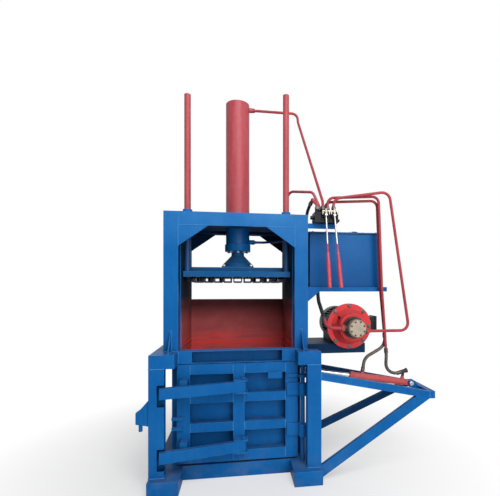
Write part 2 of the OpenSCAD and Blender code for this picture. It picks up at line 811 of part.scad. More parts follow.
// Angles that carry the tank, with a gusset at the front post
module tank_shelf() color(blue) {
    leg_t = section_t;
    front = tank_y - 40;
    back = tank_y + tank_d;
    under = shelf_z - shelf_h;
    block([press_x, shelf_x], [front, front + leg_t], [under, shelf_z]);
    block([press_x, shelf_x], [front, front + shelf_leg], [shelf_z - leg_t, shelf_z]);
    block([press_x, shelf_x], [back - leg_t, back], [under, shelf_z]);
    block([press_x, shelf_x], [back - shelf_leg, back], [shelf_z - leg_t, shelf_z]);
    block([shelf_x - leg_t, shelf_x], [front, back], [under, shelf_z]);
    block([shelf_x - shelf_leg, shelf_x], [front, back], [shelf_z - leg_t, shelf_z]);
    plate_xz([[press_x, under], [press_x + 120, under], [press_x, under - 100]], front, leg_t);
}

module oil_tank() color(blue) {
    difference() {
        block([tank_x, tank_x + tank_w], [tank_y, tank_y + tank_d], [shelf_z, shelf_z + tank_h]);
        block([tank_x + tank_t, tank_x + tank_w - tank_t], [tank_y + tank_t, tank_y + tank_d - tank_t],
            [shelf_z + tank_t, shelf_z + tank_h + eps]);
    }
}

// The lid with its filler cap
module tank_lid() color(blue) {
    lid_z = shelf_z + tank_h;
    block([tank_x - lid_over, tank_x + tank_w + lid_over], [tank_y - lid_over, tank_y + tank_d + lid_over],
        [lid_z, lid_z + lid_t]);
    translate([tank_x + tank_w - 140, tank_y + tank_d - 120, lid_z + lid_t]) {
        cylinder(h = 45, d = 60);
        translate([0, 0, 30]) cylinder(h = 30, d = 84);
    }
}

module valve_bracket() color(blue) {
    block([press_x, valve_x1], [-press_y, -press_y + section_t], [bracket_z, valve_z]);
    block([press_x, valve_x1], [-press_y, -press_y + 60], [valve_z - section_t, valve_z]);
}

// A round bar along a route, a ball at each corner
module round_run(route, d) {
    for (k = [1:len(route) - 1]) {
        run = route[k] - route[k - 1];
        translate(route[k - 1]) rotate([0, acos(run.z / norm(run)), atan2(run.y, run.x)])
            cylinder(h = norm(run), d = d);
    }
    for (k = [1:len(route) - 2]) translate(route[k]) sphere(d = d + 4);
}

// The cast valve with its two spool sections, port bosses, relief plugs, return bend and lever lugs
module valve_body() color(black) {
    groove = 4;
    lug_mid = 18;
    difference() {
        block([valve_x0, valve_x1], [valve_y, valve_y + valve_d], [valve_z, valve_z + valve_h]);
        for (x = [lever_xs[0] - 38, (lever_xs[0] + lever_xs[1]) / 2, lever_xs[1] + 20]) {
            block([x - groove / 2, x + groove / 2], [valve_y - eps, valve_y + 8],
                [valve_z - eps, valve_z + valve_h + eps]);
            block([x - groove / 2, x + groove / 2], [valve_y + valve_d - 8, valve_y + valve_d + eps],
                [valve_z - eps, valve_z + valve_h + eps]);
        }
    }
    for (p = [return_port, press_low_port, press_top_port, door_rod_port, door_cap_port, pump_port])
        translate([p.x, p.y, valve_z + valve_h]) cylinder(h = port_top - valve_z - valve_h, d = port_boss_d);
    translate([valve_x0 - 30, valve_y + 40, valve_z + valve_h / 2]) along_x(30 + eps, 34);
    translate([valve_x1 - eps, valve_y + 40, valve_z + 26]) along_x(20, 26);
    round_run(return_pipe_route, hose_d - 2);
    for (x = lever_xs) difference() {
        for (s = [-1, 1]) block([x + s * lug_mid - 5, x + s * lug_mid + 5], [valve_y - 40, valve_y],
            [lever_z - 22, lever_z + 22]);
        translate([x - 30, lever_y, lever_z]) along_x(60, lever_pin_d + 2 * run_fit);
    }
    for (x = lever_xs) translate([x, valve_y + valve_d, valve_z + valve_h / 2]) rotate([-90, 0, 0])
        cylinder(h = 45, d = 52);
}

// The motor's welded platform on the collar
module motor_base() color(blue) {
    base_z = motor_base_z - base_beam_h;
    base_back = motor_base_y + motor_base_d;
    right = motor_x + foot_gauge + foot_w / 2 + 6;
    for (y = [motor_base_y, base_back - base_beam_w]) {
        box_section([lower_x, right], [y, y + base_beam_w], [base_z, motor_base_z - section_t],
            section_t - 2);
    }
    block([lower_x, right], [motor_base_y, base_back], [motor_base_z - section_t, motor_base_z]);
    block([press_x, lower_x], [motor_base_y, base_back], [collar_top, motor_base_z]);
}

// The finned motor frame on its feet
module motor_body() color(black) {
    fins = 36;
    fin_h = 16;
    translate([motor_x, 0, motor_z]) difference() {
        union() {
            translate([0, motor_y, 0]) rotate([-90, 0, 0]) cylinder(h = motor_len, d = motor_d);
            for (turn = [0:360 / fins:359]) if (abs(turn - 270) > 35 && turn > 25 && turn < 335)
                rotate([0, -turn, 0]) translate([motor_d / 2 - 6, motor_y + 30, -3])
                    cube([fin_h + 6, motor_len - 60, 6]);
            for (s = [-1, 1]) block([s * foot_gauge - foot_w / 2, s * foot_gauge + foot_w / 2],
                [motor_y + 60, motor_y + 315], [-motor_h, -60]);
            block([motor_d / 2 - 40, motor_d / 2 + pad_h], [motor_y + 120, motor_y + 240], [-45, 60]);
            for (y = [motor_y, motor_y + motor_len - 24]) translate([0, y, 0]) rotate([-90, 0, 0])
                cylinder(h = 24, d = motor_d + cover_over);
        }
        translate([0, motor_y - eps, 0]) rotate([-90, 0, 0])
            cylinder(h = motor_len + 2 * eps, d = shaft_d + 2 * run_fit);
    }
}

// The fan cover, a pressed cap with rings of slots in its back
module fan_cover() color(black) {
    cap_d = motor_d + cover_over;
    difference() {
        turned_y([[0, fan_y], [cap_d / 2, fan_y], [cap_d / 2, fan_y + fan_len - 20],
            [cap_d / 2 - 20, fan_y + fan_len], [0, fan_y + fan_len]], motor_x, motor_z);
        turned_y([[0, fan_y - eps], [cap_d / 2 - 4, fan_y - eps], [cap_d / 2 - 4, fan_y + fan_len - 22],
            [cap_d / 2 - 22, fan_y + fan_len - 4], [0, fan_y + fan_len - 4]], motor_x, motor_z);
        for (k = [0:11]) translate([motor_x, 0, motor_z]) rotate([0, k * 30, 0])
            block([45, 120], [fan_y + fan_len - 10, fan_y + fan_len + eps], [-5, 5]);
    }
}

// The terminal box on the motor's right side
module terminal_box() color(black) {
    box_left = motor_x + motor_d / 2 + pad_h;
    block([box_left, motor_x + 285], [motor_y + 110, motor_y + 250], [motor_z - 55, motor_z + 70]);
    block([motor_x + 285, motor_x + 305], [motor_y + 104, motor_y + 256], [motor_z - 61, motor_z + 76]);
}

// The bell housing between motor and pump, with a window on each side
module bell_housing() color(red) {
    r = bell_d / 2;
    nose = bell_nose_d / 2;
    wall = 14;
    face_y = bell_y - bell_len;
    coupling_room = 72;
    difference() {
        turned_y([[coupling_room, bell_y + 10], [r, bell_y + 10], [r, bell_y - 12], [r - 40, bell_y - 12],
            [nose + 15, bell_y - 60], [nose, face_y + 30], [nose, face_y],
            [pump_d / 2 - 20, face_y], [pump_d / 2 - 20, face_y + wall], [coupling_room, face_y + wall]],
            motor_x, motor_z);
        for (s = [-1, 1]) translate([motor_x, 0, motor_z]) rotate([0, s > 0 ? -25 : 205, 0])
            block([40, r], [bell_y - 80, bell_y - 25], [-38, 38]);
    }
}

// The axial piston pump with its round front cover and two side ports
module pump() color(grey) {
    face_y = bell_y - bell_len;
    difference() {
        union() {
            turned_y([[0, face_y], [pump_d / 2 + 18, face_y], [pump_d / 2 + 18, face_y - 22],
                [pump_d / 2 + 6, face_y - 22], [pump_d / 2 + 6, pump_y + 46], [pump_d / 2, pump_y + 40],
                [pump_d / 2, pump_y + 8], [pump_d / 2 - 8, pump_y], [0, pump_y]], motor_x, motor_z);
            translate([motor_x - pump_port_x, pump_port_y, motor_z]) along_x(pump_port_x, 60);
            translate([motor_x, pump_port_y, pump_out_z]) along_x(pump_port_x, 52);
        }
        for (k = [0:7]) translate([motor_x, pump_y - eps, motor_z]) rotate([0, k * 45 + 22.5, 0])
            translate([pump_d / 2 - 17, 0, 0]) rotate([-90, 0, 0]) cylinder(h = 14, d = 17);
        translate([motor_x, face_y - 20, motor_z]) rotate([-90, 0, 0]) cylinder(h = 20 + eps, d = shaft_d + 2);
    }
}

module steel_pipe(route, bend_r, d = pipe_d) {
    swept(bent(route, bend_r), d);
}

module press_top_pipe() color(red) steel_pipe(press_top_route, 60);
module press_low_pipe() color(red) steel_pipe(press_low_route, 60);

module door_pipes() color(red) {
    steel_pipe(door_cap_route, 60);
    steel_pipe(door_rod_route, 60);
}

// The pump's delivery pipe and the bend that its suction hose is pushed on
module pump_pipe() color(red) {
    steel_pipe(pump_route, 70);
    steel_pipe(suction_pipe_route, 70, hose_d);
}

module return_hose() color(black) swept(return_route, hose_d, 10);
module suction_hose() color(black) swept(suction_route, suction_d, 10);
module cap_hose() color(black) swept(cap_hose_route, hose_d, 10);
module rod_hose() color(black) swept(rod_hose_route, hose_d, 10);

// The press rod with its piston at the top of the bore
module press_rod() color(chrome) {
    piston_z = barrel_top - barrel_cap - piston_gap - piston_h;
    translate([0, 0, rod_end_z]) cylinder(h = piston_z - rod_end_z + eps, d = rod_d);
    translate([0, 0, piston_z]) cylinder(h = piston_h, d = bore_d - 2 * run_fit);
}

// The turned cone that joins the rod to a square plate on the platen
module rod_flange() color(blue) {
    seat_r = rod_d / 2 + run_fit;
    neck_r = rod_d / 2 + 12;
    neck_top = neck_z + neck_h;
    difference() {
        union() {
            block([-rod_plate / 2, rod_plate / 2], [-rod_plate / 2, rod_plate / 2], [platen_top, rod_plate_z]);
            rotate_extrude() polygon([[0, rod_plate_z - eps], [rod_flange_d / 2, rod_plate_z - eps],
                [rod_flange_d / 2, cone_z], [neck_r, neck_z], [neck_r, neck_top], [0, neck_top]]);
        }
        translate([0, 0, rod_end_z]) cylinder(h = neck_top - rod_end_z + eps, r = seat_r);
    }
}

// The platen: a plate with a band round its edge, two long beams and cross webs below the rod
module platen() color(blue) {
    web = 12;
    rim = 60;
    plate_top = platen_z + platen_plate_t;
    beam_in = platen_beam_y - platen_beam_d;
    difference() {
        block([-platen_x, platen_x], [-platen_y, platen_y], [platen_z, band_top]);
        block([rim - platen_x, platen_x - rim], [web - platen_y, platen_y - web],
            [plate_top, band_top + eps]);
    }
    front_and_back()
        block([-platen_x, platen_x], [-platen_beam_y, -beam_in], [plate_top - eps, platen_top]);
    both_sides()
        block([rod_plate / 2 - web, rod_plate / 2], [-beam_in - eps, beam_in + eps],
            [plate_top - eps, platen_top]);
}

// Channels below the platen, webs down, with strap slots between them
module platen_channels() color(blue) {
    for (k = [0:channel_n - 1]) translate([(k - (channel_n - 1) / 2) * channel_pitch, 0, 0]) difference() {
        block([-channel_w / 2, channel_w / 2], [-platen_y, platen_y], [platen_z - channel_h, platen_z]);
        block([channel_t - channel_w / 2, channel_w / 2 - channel_t], [-platen_y - eps, platen_y + eps],
            [platen_z - channel_h + channel_t, platen_z + eps]);
    }
}

// Tubes that slide in the deck's bushes and keep the platen level
module guide_rods() color(red) {
    for (rod = [[-guide_x, left_guide_rise], [guide_x, right_guide_rise]])
        translate([rod[0], -guide_y, band_top]) difference() {
            length = press_h + rod[1] - band_top;
            cylinder(h = length, d = guide_d);
            translate([0, 0, 10]) cylinder(h = length - 20, d = guide_d - 14);
        }
}

// The door: one plate behind a grid of ribs, three panels high and two wide
module door_panel() color(blue) {
    rib_back = -door_front + door_rib_h;
    low_rail = door_z + 14;
    rail_pitch = (door_top - cross_rib_h - 10 - low_rail) / 3;
    rail_zs = [for (k = [0:3]) low_rail + k * rail_pitch];
    latch_zs = [door_z + 293, door_z + 378];
    panel_xs = [[-door_left + stile_w, -40], [60, door_right - stile_w]];
    difference() {
        block([-door_left, door_right], [-door_front, -door_back], [door_z, door_top]);
        for (k = [0:len(rail_zs) - 2], x = panel_xs)
            block(x, [-door_front - eps, rib_back], [rail_zs[k] + cross_rib_h, rail_zs[k + 1]]);
        for (x = panel_xs, z = rail_zs) block([x[0] - eps, x[1] + eps], [-door_front + 14, rib_back],
            [z + 6, z + cross_rib_h - 6]);
    }
    block([door_right - 267, door_right - 143], [-door_front - 26, -door_front],
        [door_top - cross_rib_h - 58, door_top - cross_rib_h - 8]);
    for (z = latch_zs)
        block([-door_left - 40, 50 - door_left], [-door_front - 22, -door_front], [z, z + 26]);
}

// Knuckles on leaf plates that turn on the hinge rod
module door_knuckles() color(blue) {
    for (z = knuckle_zs) hinge_piece(z, knuckle_h);
}

// A knuckle on a leaf that lies on the door's right stile
module hinge_piece(z, h) {
    difference() {
        union() {
            translate([hinge_x, -hinge_y, z]) cylinder(h = h, d = knuckle_d);
            block([door_right - stile_w + 10, hinge_x], [-door_front - leaf_t, -door_front], [z, z + h]);
        }
        translate([hinge_x, -hinge_y, z - eps]) cylinder(h = h + 2 * eps, d = hinge_d + 2 * run_fit);
    }
}

// The crank on the door's top knuckle, with its upright pin
module door_crank() color(blue) {
    hinge_piece(crank_z, crank_t);
    reach = crank_r - hinge_d / 2 - 4;
    difference() {
        union() {
            translate([hinge_x, -hinge_y, crank_z]) rotate([0, 0, 90 - crank_half])
                translate([hinge_d / 2 + 4, -24, 0]) cube([reach, 48, crank_t]);
            translate([pin_x, -pin_y, crank_z]) cylinder(h = crank_t, d = 48);
        }
        translate([hinge_x, -hinge_y, crank_z - eps])
            cylinder(h = crank_t + 2 * eps, d = hinge_d + 2 * run_fit);
    }
    translate([pin_x, -pin_y, crank_z + crank_t - eps]) cylinder(h = crank_pin_h, d = crank_pin_d);
}

// Pivot brackets of the lock arms on the middle stile, and their stops on the left stile
module arm_brackets() color(blue) {
    for (z = arm_zs) {
        for (lug = [z + arm_h / 2 + 1, z - arm_h / 2 - 15])
            block([-34, 84], [-arm_pin_y - 30, -door_front], [lug, lug + 14]);
        translate([arm_pin_x, -arm_pin_y, z - arm_h / 2 - 20]) cylinder(h = arm_h + 40, d = arm_pin_d);
        stop_x = door_left - 41;
        stop_in = stop_x - 60;
        stop_y = arm_pin_y + (stop_in + arm_pin_x) * tan(arm_angle) - arm_t / 2 / cos(arm_angle) - 8;
        block([-stop_x, -stop_in], [-stop_y, -door_front], [z - 20, z + arm_h / 2 + 30]);
    }
}

// A channel from its pin on the door to the notch in the lock column, web to the front
module lock_arm(z) color(blue) {
    translate([arm_pin_x, -arm_pin_y, z - arm_h / 2]) rotate([0, 0, 180 + arm_angle]) difference() {
        union() {
            translate([0, -arm_t / 2, 0]) cube([arm_len, arm_t, arm_h]);
            cylinder(h = arm_h, d = arm_t);
        }
        translate([0, 0, -eps]) cylinder(h = arm_h + 2 * eps, d = arm_pin_d + 2 * run_fit);
        translate([70, -arm_t / 2 - section_t, section_t])
            cube([arm_len - 90, arm_t, arm_h - 2 * section_t]);
    }
}

module upper_arm() lock_arm(upper_arm_z);
module lower_arm() lock_arm(lower_arm_z);

// Places children in a lever's own frame, hanging from its pivot with a sideways lean
module leaning(x, lean) {
    translate([x, lever_y, lever_z]) rotate([0, -lean, 0]) children();
}

// A lever's steel rod with its eye and pin between the valve's lugs
module lever_rod(x, lean) color(chrome) {
    translate([x - 23, lever_y, lever_z]) along_x(46, lever_pin_d);
    translate([x - 9, lever_y, lever_z]) along_x(18, 30);
    leaning(x, lean) translate([0, 0, 20 - lever_len]) cylinder(h = lever_len - 25, d = lever_d);
}

// A grip moulded over the lower end of a lever
module lever_grip(x, lean) color(red) {
    leaning(x, lean) translate([0, 0, -lever_len]) difference() {
        rotate_extrude() polygon([[0, 0], [13, 0], [17, 6], [17, grip_len - 10], [13, grip_len],
            [0, grip_len]]);
        translate([0, 0, 20]) cylinder(h = grip_len, d = lever_d);
    }
}

module press_lever() lever_rod(lever_xs[0], press_lever_lean);
module door_lever() lever_rod(lever_xs[1], door_lever_lean);
module press_grip() lever_grip(lever_xs[0], press_lever_lean);
module door_grip() lever_grip(lever_xs[1], door_lever_lean);

// The door cylinder's rod with its piston and the slotted yoke on the crank's pin
module door_rod() color(chrome) {
    inside = cyl_wall + cyl_stroke + 16;
    from_yoke = (cyl_x0 - yoke_x1) / cos(cyl_slope) + inside;
    on_axis(yoke_x1) translate([-4, 0, 0]) along_x(from_yoke + 4, cyl_rod_d);
    on_axis(yoke_x1) translate([from_yoke, 0, 0]) along_x(40, cyl_bore - 2 * run_fit);
    difference() {
        block([pin_x - yoke_w / 2, yoke_x1], [-slot_y - slot_len / 2 - 14, -slot_y + slot_len / 2 + 14],
            [yoke_z - yoke_t / 2, yoke_z + yoke_t / 2]);
        block([pin_x - yoke_w / 2 + yoke_wall, yoke_x1 - yoke_wall],
            [-slot_y - slot_len / 2, slot_len / 2 - slot_y], [yoke_z - yoke_t, yoke_z + yoke_t]);
    }
}

// The motor's shaft from the fan to the coupling
module motor_shaft() color(chrome) {
    start = bell_y - 48;
    translate([motor_x, start, motor_z]) rotate([-90, 0, 0]) cylinder(h = fan_y + 70 - start, d = shaft_d);
}

// The coupling inside the bell housing, two hubs with a jaw ring
module shaft_coupling() color(grey) {
    hub_y = bell_y - 98;
    difference() {
        union() {
            translate([motor_x, hub_y, motor_z]) rotate([-90, 0, 0]) cylinder(h = 80, d = 96);
            translate([motor_x, hub_y + 28, motor_z]) rotate([-90, 0, 0]) cylinder(h = 24, d = 120);
        }
        translate([motor_x, bell_y - 48, motor_z]) rotate([-90, 0, 0])
            cylinder(h = 90, d = shaft_d + 2 * run_fit);
    }
}

// The cooling fan on the shaft's end, with flat blades
module cooling_fan() color(black) {
    translate([motor_x, fan_y + 22, motor_z]) difference() {
        union() {
            rotate([-90, 0, 0]) cylinder(h = 40, d = 90);
            for (k = [0:7]) rotate([0, k * 45, 0]) translate([35, 5, -2]) cube([95, 30, 4]);
        }
        translate([0, -eps, 0]) rotate([-90, 0, 0]) cylinder(h = 40 + 2 * eps, d = shaft_d + 2 * run_fit);
    }
}

base_beams();
lock_column();
columns();
collar_beams();
lintels();
chamber_floor();
side_walls();
rear_wall();
wall_stiffeners();
posts();
top_beams();
gussets();
deck_plate();
guide_bushes();
press_barrel();
cylinder_gland();
hinge_rod();
side_lug();
wing_beams();
wing_braces();
clevis_bracket();
door_barrel();
tank_shelf();
oil_tank();
tank_lid();
valve_bracket();
valve_body();
motor_base();
motor_body();
fan_cover();
terminal_box();
bell_housing();
pump();
press_top_pipe();
press_low_pipe();
door_pipes();
pump_pipe();
return_hose();
suction_hose();
cap_hose();
rod_hose();
press_rod();
rod_flange();
platen();
platen_channels();
guide_rods();
door_panel();
door_knuckles();
arm_brackets();
door_crank();
upper_arm();
lower_arm();
press_lever();
press_grip();
door_lever();
door_grip();
door_rod();
motor_shaft();
shaft_coupling();
cooling_fan();
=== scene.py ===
import math

import bmesh
import bpy
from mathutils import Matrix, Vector


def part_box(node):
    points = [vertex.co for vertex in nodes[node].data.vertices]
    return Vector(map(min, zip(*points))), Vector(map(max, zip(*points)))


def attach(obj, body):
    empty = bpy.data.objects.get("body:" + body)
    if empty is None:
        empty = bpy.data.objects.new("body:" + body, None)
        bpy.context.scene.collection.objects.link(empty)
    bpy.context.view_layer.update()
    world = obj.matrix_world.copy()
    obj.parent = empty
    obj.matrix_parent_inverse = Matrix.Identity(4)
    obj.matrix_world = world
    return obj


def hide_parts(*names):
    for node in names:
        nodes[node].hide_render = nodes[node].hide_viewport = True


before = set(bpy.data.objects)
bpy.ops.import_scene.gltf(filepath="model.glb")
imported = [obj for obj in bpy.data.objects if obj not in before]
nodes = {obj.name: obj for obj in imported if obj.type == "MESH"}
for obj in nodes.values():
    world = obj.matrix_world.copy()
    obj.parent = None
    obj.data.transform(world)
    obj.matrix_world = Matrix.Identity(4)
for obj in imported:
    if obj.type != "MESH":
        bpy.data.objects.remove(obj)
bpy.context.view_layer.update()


# The welded frame.
# Rolled channel and plate, cut square, welded at the corners and sprayed with one coat of
# blue machine enamel. The coat is thin on the edges, which also carry a painted highlight, mottled on the
# flats and dusty near the floor; painted shade darkens its corners.
class Field:
    """A shader socket that can be worked with as a number."""

    def __init__(self, tree, socket=None):
        self.tree = tree
        self.socket = socket

    def node(self, kind, settings=None, inputs=None, output=0):
        """Adds a node: its settings first, then the values or links of its sockets."""
        made = self.tree.nodes.new(kind)
        for key, value in (settings or {}).items():
            setattr(made, key, value)
        for key, value in (inputs or {}).items():
            if isinstance(value, Field):
                self.tree.links.new(value.socket, made.inputs[key])
            else:
                made.inputs[key].default_value = value
        return Field(self.tree, made.outputs[output])

    def math(self, operation, *values):
        """Adds a Math node on the given values."""
        return self.node("ShaderNodeMath", {"operation": operation}, dict(enumerate(values)))

    def __add__(self, other):
        return self.math("ADD", self, other)

    def __sub__(self, other):
        return self.math("SUBTRACT", self, other)

    def __rsub__(self, other):
        return self.math("SUBTRACT", other, self)

    def __mul__(self, other):
        return self.math("MULTIPLY", self, other)

    def __gt__(self, other):
        return self.math("GREATER_THAN", self, other)

    def __lt__(self, other):
        return self.math("LESS_THAN", self, other)

    __radd__ = __add__
    __rmul__ = __mul__

    def unsigned(self):
        """The value without its sign."""
        return self.math("ABSOLUTE", self)

    def ramped(self, low, high):
        """0 at low, 1 at high and straight between them, held at both ends."""
        inputs = {"Value": self, "From Min": low, "From Max": high}
        return self.node("ShaderNodeMapRange", {"clamp": True}, inputs)

    def blend(self, first, second):
        """The first colour where this value is 0, the second where it is 1."""
        factor, first_colour, second_colour, mixed_colour = 0, 6, 7, 2
        inputs = {factor: self, first_colour: first, second_colour: second}
        return self.node("ShaderNodeMix", {"data_type": "RGBA"}, inputs, mixed_colour)


def new_finish(name):
    """A material, a field to build its nodes from, and its shader."""
    made = bpy.data.materials.new(name)
    made.use_nodes = True
    return made, Field(made.node_tree), made.node_tree.nodes["Principled BSDF"]


def feed(field, shader, **sockets):
    """Sets or links the shader's sockets, written with _ for a space."""
    for key, value in sockets.items():
        socket = shader.inputs[key.replace("_", " ")]
        if isinstance(value, Field):
            field.tree.links.new(value.socket, socket)
        else:
            socket.default_value = value


def object_place(field):
    """The place on the piece, in metres."""
    return field.node("ShaderNodeTexCoord", output="Object")


def split(field, vector):
    """A vector's X, Y and Z."""
    return [field.node("ShaderNodeSeparateXYZ", inputs={"Vector": vector}, output=axis) for axis in "XYZ"]


def stretched(field, place, x, y, z):
    """The place scaled along its axes, so that a noise read there runs in streaks."""
    return field.node("ShaderNodeVectorMath", {"operation": "MULTIPLY"}, {0: place, 1: (x, y, z)})


def noise(field, place, scale, detail=3.0, rough=0.55):
    """Cloudy values from 0 to 1, mostly near the middle."""
    inputs = {"Vector": place, "Scale": scale, "Detail": detail, "Roughness": rough}
    return field.node("ShaderNodeTexNoise", inputs=inputs)


def bump(field, height, strength, depth):
    """A normal that stands for fine relief of the given depth."""
    return field.node("ShaderNodeBump", inputs={"Strength": strength, "Distance": depth, "Height": height})


def facing_up(field):
    """1 on level tops, 0 on walls and undersides."""
    normal = field.node("ShaderNodeNewGeometry", output="Normal")
    return split(field, normal)[2].ramped(0.4, 0.95)


def edge_wear_and_glint(field, place, radius):
    """1 on sharp edges in broken stretches, where the coat has rubbed thin and where a painted highlight is
    laid along the edges.
    """
    rounded = field.node("ShaderNodeBevel", {"samples": 4}, {"Radius": radius})
    flat = field.node("ShaderNodeNewGeometry", output="Normal")
    alike = field.node("ShaderNodeVectorMath", {"operation": "DOT_PRODUCT"}, {0: rounded, 1: flat}, "Value")
    return (1 - alike).ramped(0.0, 0.12) * noise(field, place, 14.0).ramped(0.38, 0.68)


def corner_shade(field, reach):
    """Painted shade: 1 deep in corners and recesses, where shade falls, 0 in the open."""
    open_share = field.node("ShaderNodeAmbientOcclusion", {"samples": 6}, {"Distance": reach}, "AO")
    return (1 - open_share).ramped(0.45, 1.0)


DUST = (0.2, 0.19, 0.17, 1)
SPLASH_HEIGHT = 0.3


def enamel_coat(field, place, tint, faded):
    """Sprayed enamel's colour: faded patches, mottling and runs, with dust on tops and near the floor."""
    patches = noise(field, place, 1.7, 4.0).ramped(0.35, 0.75)
    mottle = noise(field, place, 26.0, 5.0).ramped(0.3, 0.8)
    runs = noise(field, stretched(field, place, 30.0, 30.0, 1.6), 1.0, 3.0).ramped(0.5, 0.8)
    colour = (patches * 0.6 + mottle * 0.2 + runs * 0.2).blend(tint, faded)
    near_floor = 1 - split(field, place)[2].ramped(0.0, SPLASH_HEIGHT)
    splashed = near_floor * noise(field, place, 8.0, 6.0).ramped(0.45, 0.8)
    settled = facing_up(field) * noise(field, place, 11.0, 5.0).ramped(0.3, 0.75)
    return (splashed * 0.3 + settled * 0.22).blend(colour, DUST)


# A dark navy laid into corners and recesses as painted shade.
CORNER_SHADE_NAVY = (0.002, 0.012, 0.035, 1)
# The radius of the lightened edges: rubbed paint and a painted highlight.
RUBBED_GLINT_RADIUS = 0.005
CORNER_SHADE_REACH = 0.3
PEEL_DEPTH = 0.002
PAINT_SHEEN = 0.07


def enamel(name, tint, faded, worn_glint, gloss=0.4, wear=0.5, corner_shading=0.7, weather_and_light=None):
    """An enamel finish; the recolouring, where one is given, changes its colour (stains on some pieces,
    painted highlight and painted shade on others) and says how much duller it gets.
    """
    made, field, shader = new_finish(name)
    place = object_place(field)
    colour = enamel_coat(field, place, tint, faded)
    matt = 0.0
    if weather_and_light:
        colour, matt = weather_and_light(field, place, colour)
    # Edges lightened: partly rubbed paint, partly a painted highlight.
    colour = (edge_wear_and_glint(field, place, RUBBED_GLINT_RADIUS) * wear).blend(colour, worn_glint)
    # Painted shade darkens corners and recesses.
    colour = (corner_shade(field, CORNER_SHADE_REACH) * corner_shading).blend(colour, CORNER_SHADE_NAVY)
    peel = noise(field, place, 330.0, 2.0) * 0.35 + noise(field, place, 36.0, 3.0)
    rough = noise(field, place, 5.0, 4.0) * 0.22 + (gloss - 0.1) + matt
    feed(field, shader, Base_Color=colour, Roughness=rough)
    feed(field, shader, Normal=bump(field, peel, 0.1, PEEL_DEPTH), Specular_IOR_Level=PAINT_SHEEN)
    return made


BLUE_TINT = (0.0008, 0.086, 0.295, 1)
BLUE_FADED = (0.012, 0.142, 0.4, 1)
# A light blue for the edges, standing for bare primer and for a painted highlight.
BLUE_WORN_GLINT = (0.12, 0.32, 0.6, 1)
# The weld beads are a lighter blue than the frame: a painted highlight along the seams.
WELD_GLINT_TINT = (0.02, 0.16, 0.44, 1)
WELD_GLINT_FADED = (0.07, 0.25, 0.55, 1)
blue_enamel = enamel("blue_enamel", BLUE_TINT, BLUE_FADED, BLUE_WORN_GLINT)
weld_glint_blue = enamel("weld_glint_blue", WELD_GLINT_TINT, WELD_GLINT_FADED, BLUE_WORN_GLINT, corner_shading=0.4)

# A dark navy that stands for painted shade, and a light blue that stands for a painted highlight.
SHADE_NAVY = (0.0022, 0.016, 0.05, 1)
SKY_LIT_BLUE = (0.085, 0.3, 0.62, 1)
SKY_LIT_FROM = 1.95
INNER_SHADE_FROM, INNER_SHADE_FULL = 1.5, 1.62
TOP_RIM_IN, UNSHADED_FRONT, SKIN = 0.005, 0.025, 0.0015
post_out, press_back, press_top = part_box("posts")[1]
post_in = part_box("deck_plate")[1].x


def press_frame_light_and_shade(field, place, colour):
    """A painted highlight towards the top, and painted shade inside the frame between the posts."""
    x, y, z = split(field, place)
    rim = press_top - TOP_RIM_IN
    # Painted highlight: the frame grows lighter towards its top rim.
    lit_patch = z.ramped(SKY_LIT_FROM, rim) * noise(field, place, 3.0, 4.0).ramped(0.2, 0.7)
    colour = (lit_patch * 0.32).blend(colour, SKY_LIT_BLUE)
    # Painted shade: the inside of the frame between the posts is darkened from above the box up to the top
    # rim.
    across = x.unsigned() < post_in + SKIN
    between = across * (y > UNSHADED_FRONT - press_back) * (y < press_back - TOP_RIM_IN)
    risen = between * z.ramped(INNER_SHADE_FROM, INNER_SHADE_FULL) * (z < rim)
    inner_shade = risen * (noise(field, place, 5.0, 4.0) * 0.4 + 0.65).ramped(0.0, 1.0)
    return inner_shade.blend(colour, SHADE_NAVY), inner_shade * 0.5


press_blue = enamel("press_frame_blue", BLUE_TINT, BLUE_FADED, BLUE_WORN_GLINT, weather_and_light=press_frame_light_and_shade)

SEAM = 0.00005
EDGE_ANGLE = math.radians(32)


def dress(material, width, *names):
    """Gives solids a material and takes their sharp edges off by the given width."""
    for name in names:
        solid = nodes[name]
        solid.data.materials.clear()
        solid.data.materials.append(material)
        solid.data.shade_smooth()
        weld = solid.modifiers.new("closed", "WELD")
        weld.merge_threshold = SEAM
        edge = solid.modifiers.new("rolled_edge", "BEVEL")
        edge.width = width
        edge.segments = 2
        edge.angle_limit = EDGE_ANGLE
        even = solid.modifiers.new("flat_faces", "WEIGHTED_NORMAL")
        even.weight = 100
        even.keep_sharp = False


SECTION_EDGE = 0.004
PLATE_EDGE = 0.003
dress(blue_enamel, SECTION_EDGE, "base_beams", "lock_column", "columns", "collar_beams", "lintels",
      "wall_stiffeners", "side_lug")
dress(press_blue, SECTION_EDGE, "posts", "top_beams", "gussets", "deck_plate", "guide_bushes")
dress(blue_enamel, PLATE_EDGE, "valve_bracket")


def lathe(mesh, profile, base, axis, sides=24):
    """Adds a turned form, hexagonal with 6 sides, from (radius, distance from the base) along an axis."""
    axis = Vector(axis).normalized()
    across = Vector((0, 0, 1)) if abs(axis.z) < 0.9 else Vector((1, 0, 0))
    over = axis.cross(across).normalized()
    across = over.cross(axis)
    turns = [2 * math.pi * k / sides for k in range(sides)]
    spokes = [math.cos(turn) * across + math.sin(turn) * over for turn in turns]
    rings = []
    for radius, distance in profile:
        middle = Vector(base) + axis * distance
        rings.append([mesh.verts.new(middle + radius * spoke) for spoke in spokes])
    for low, high in zip(rings, rings[1:]):
        for k in range(sides):
            mesh.faces.new((low[k - 1], low[k], high[k], high[k - 1]))
    mesh.faces.new(rings[0][::-1])
    mesh.faces.new(rings[-1])


SHARP_ANGLE = math.radians(35)


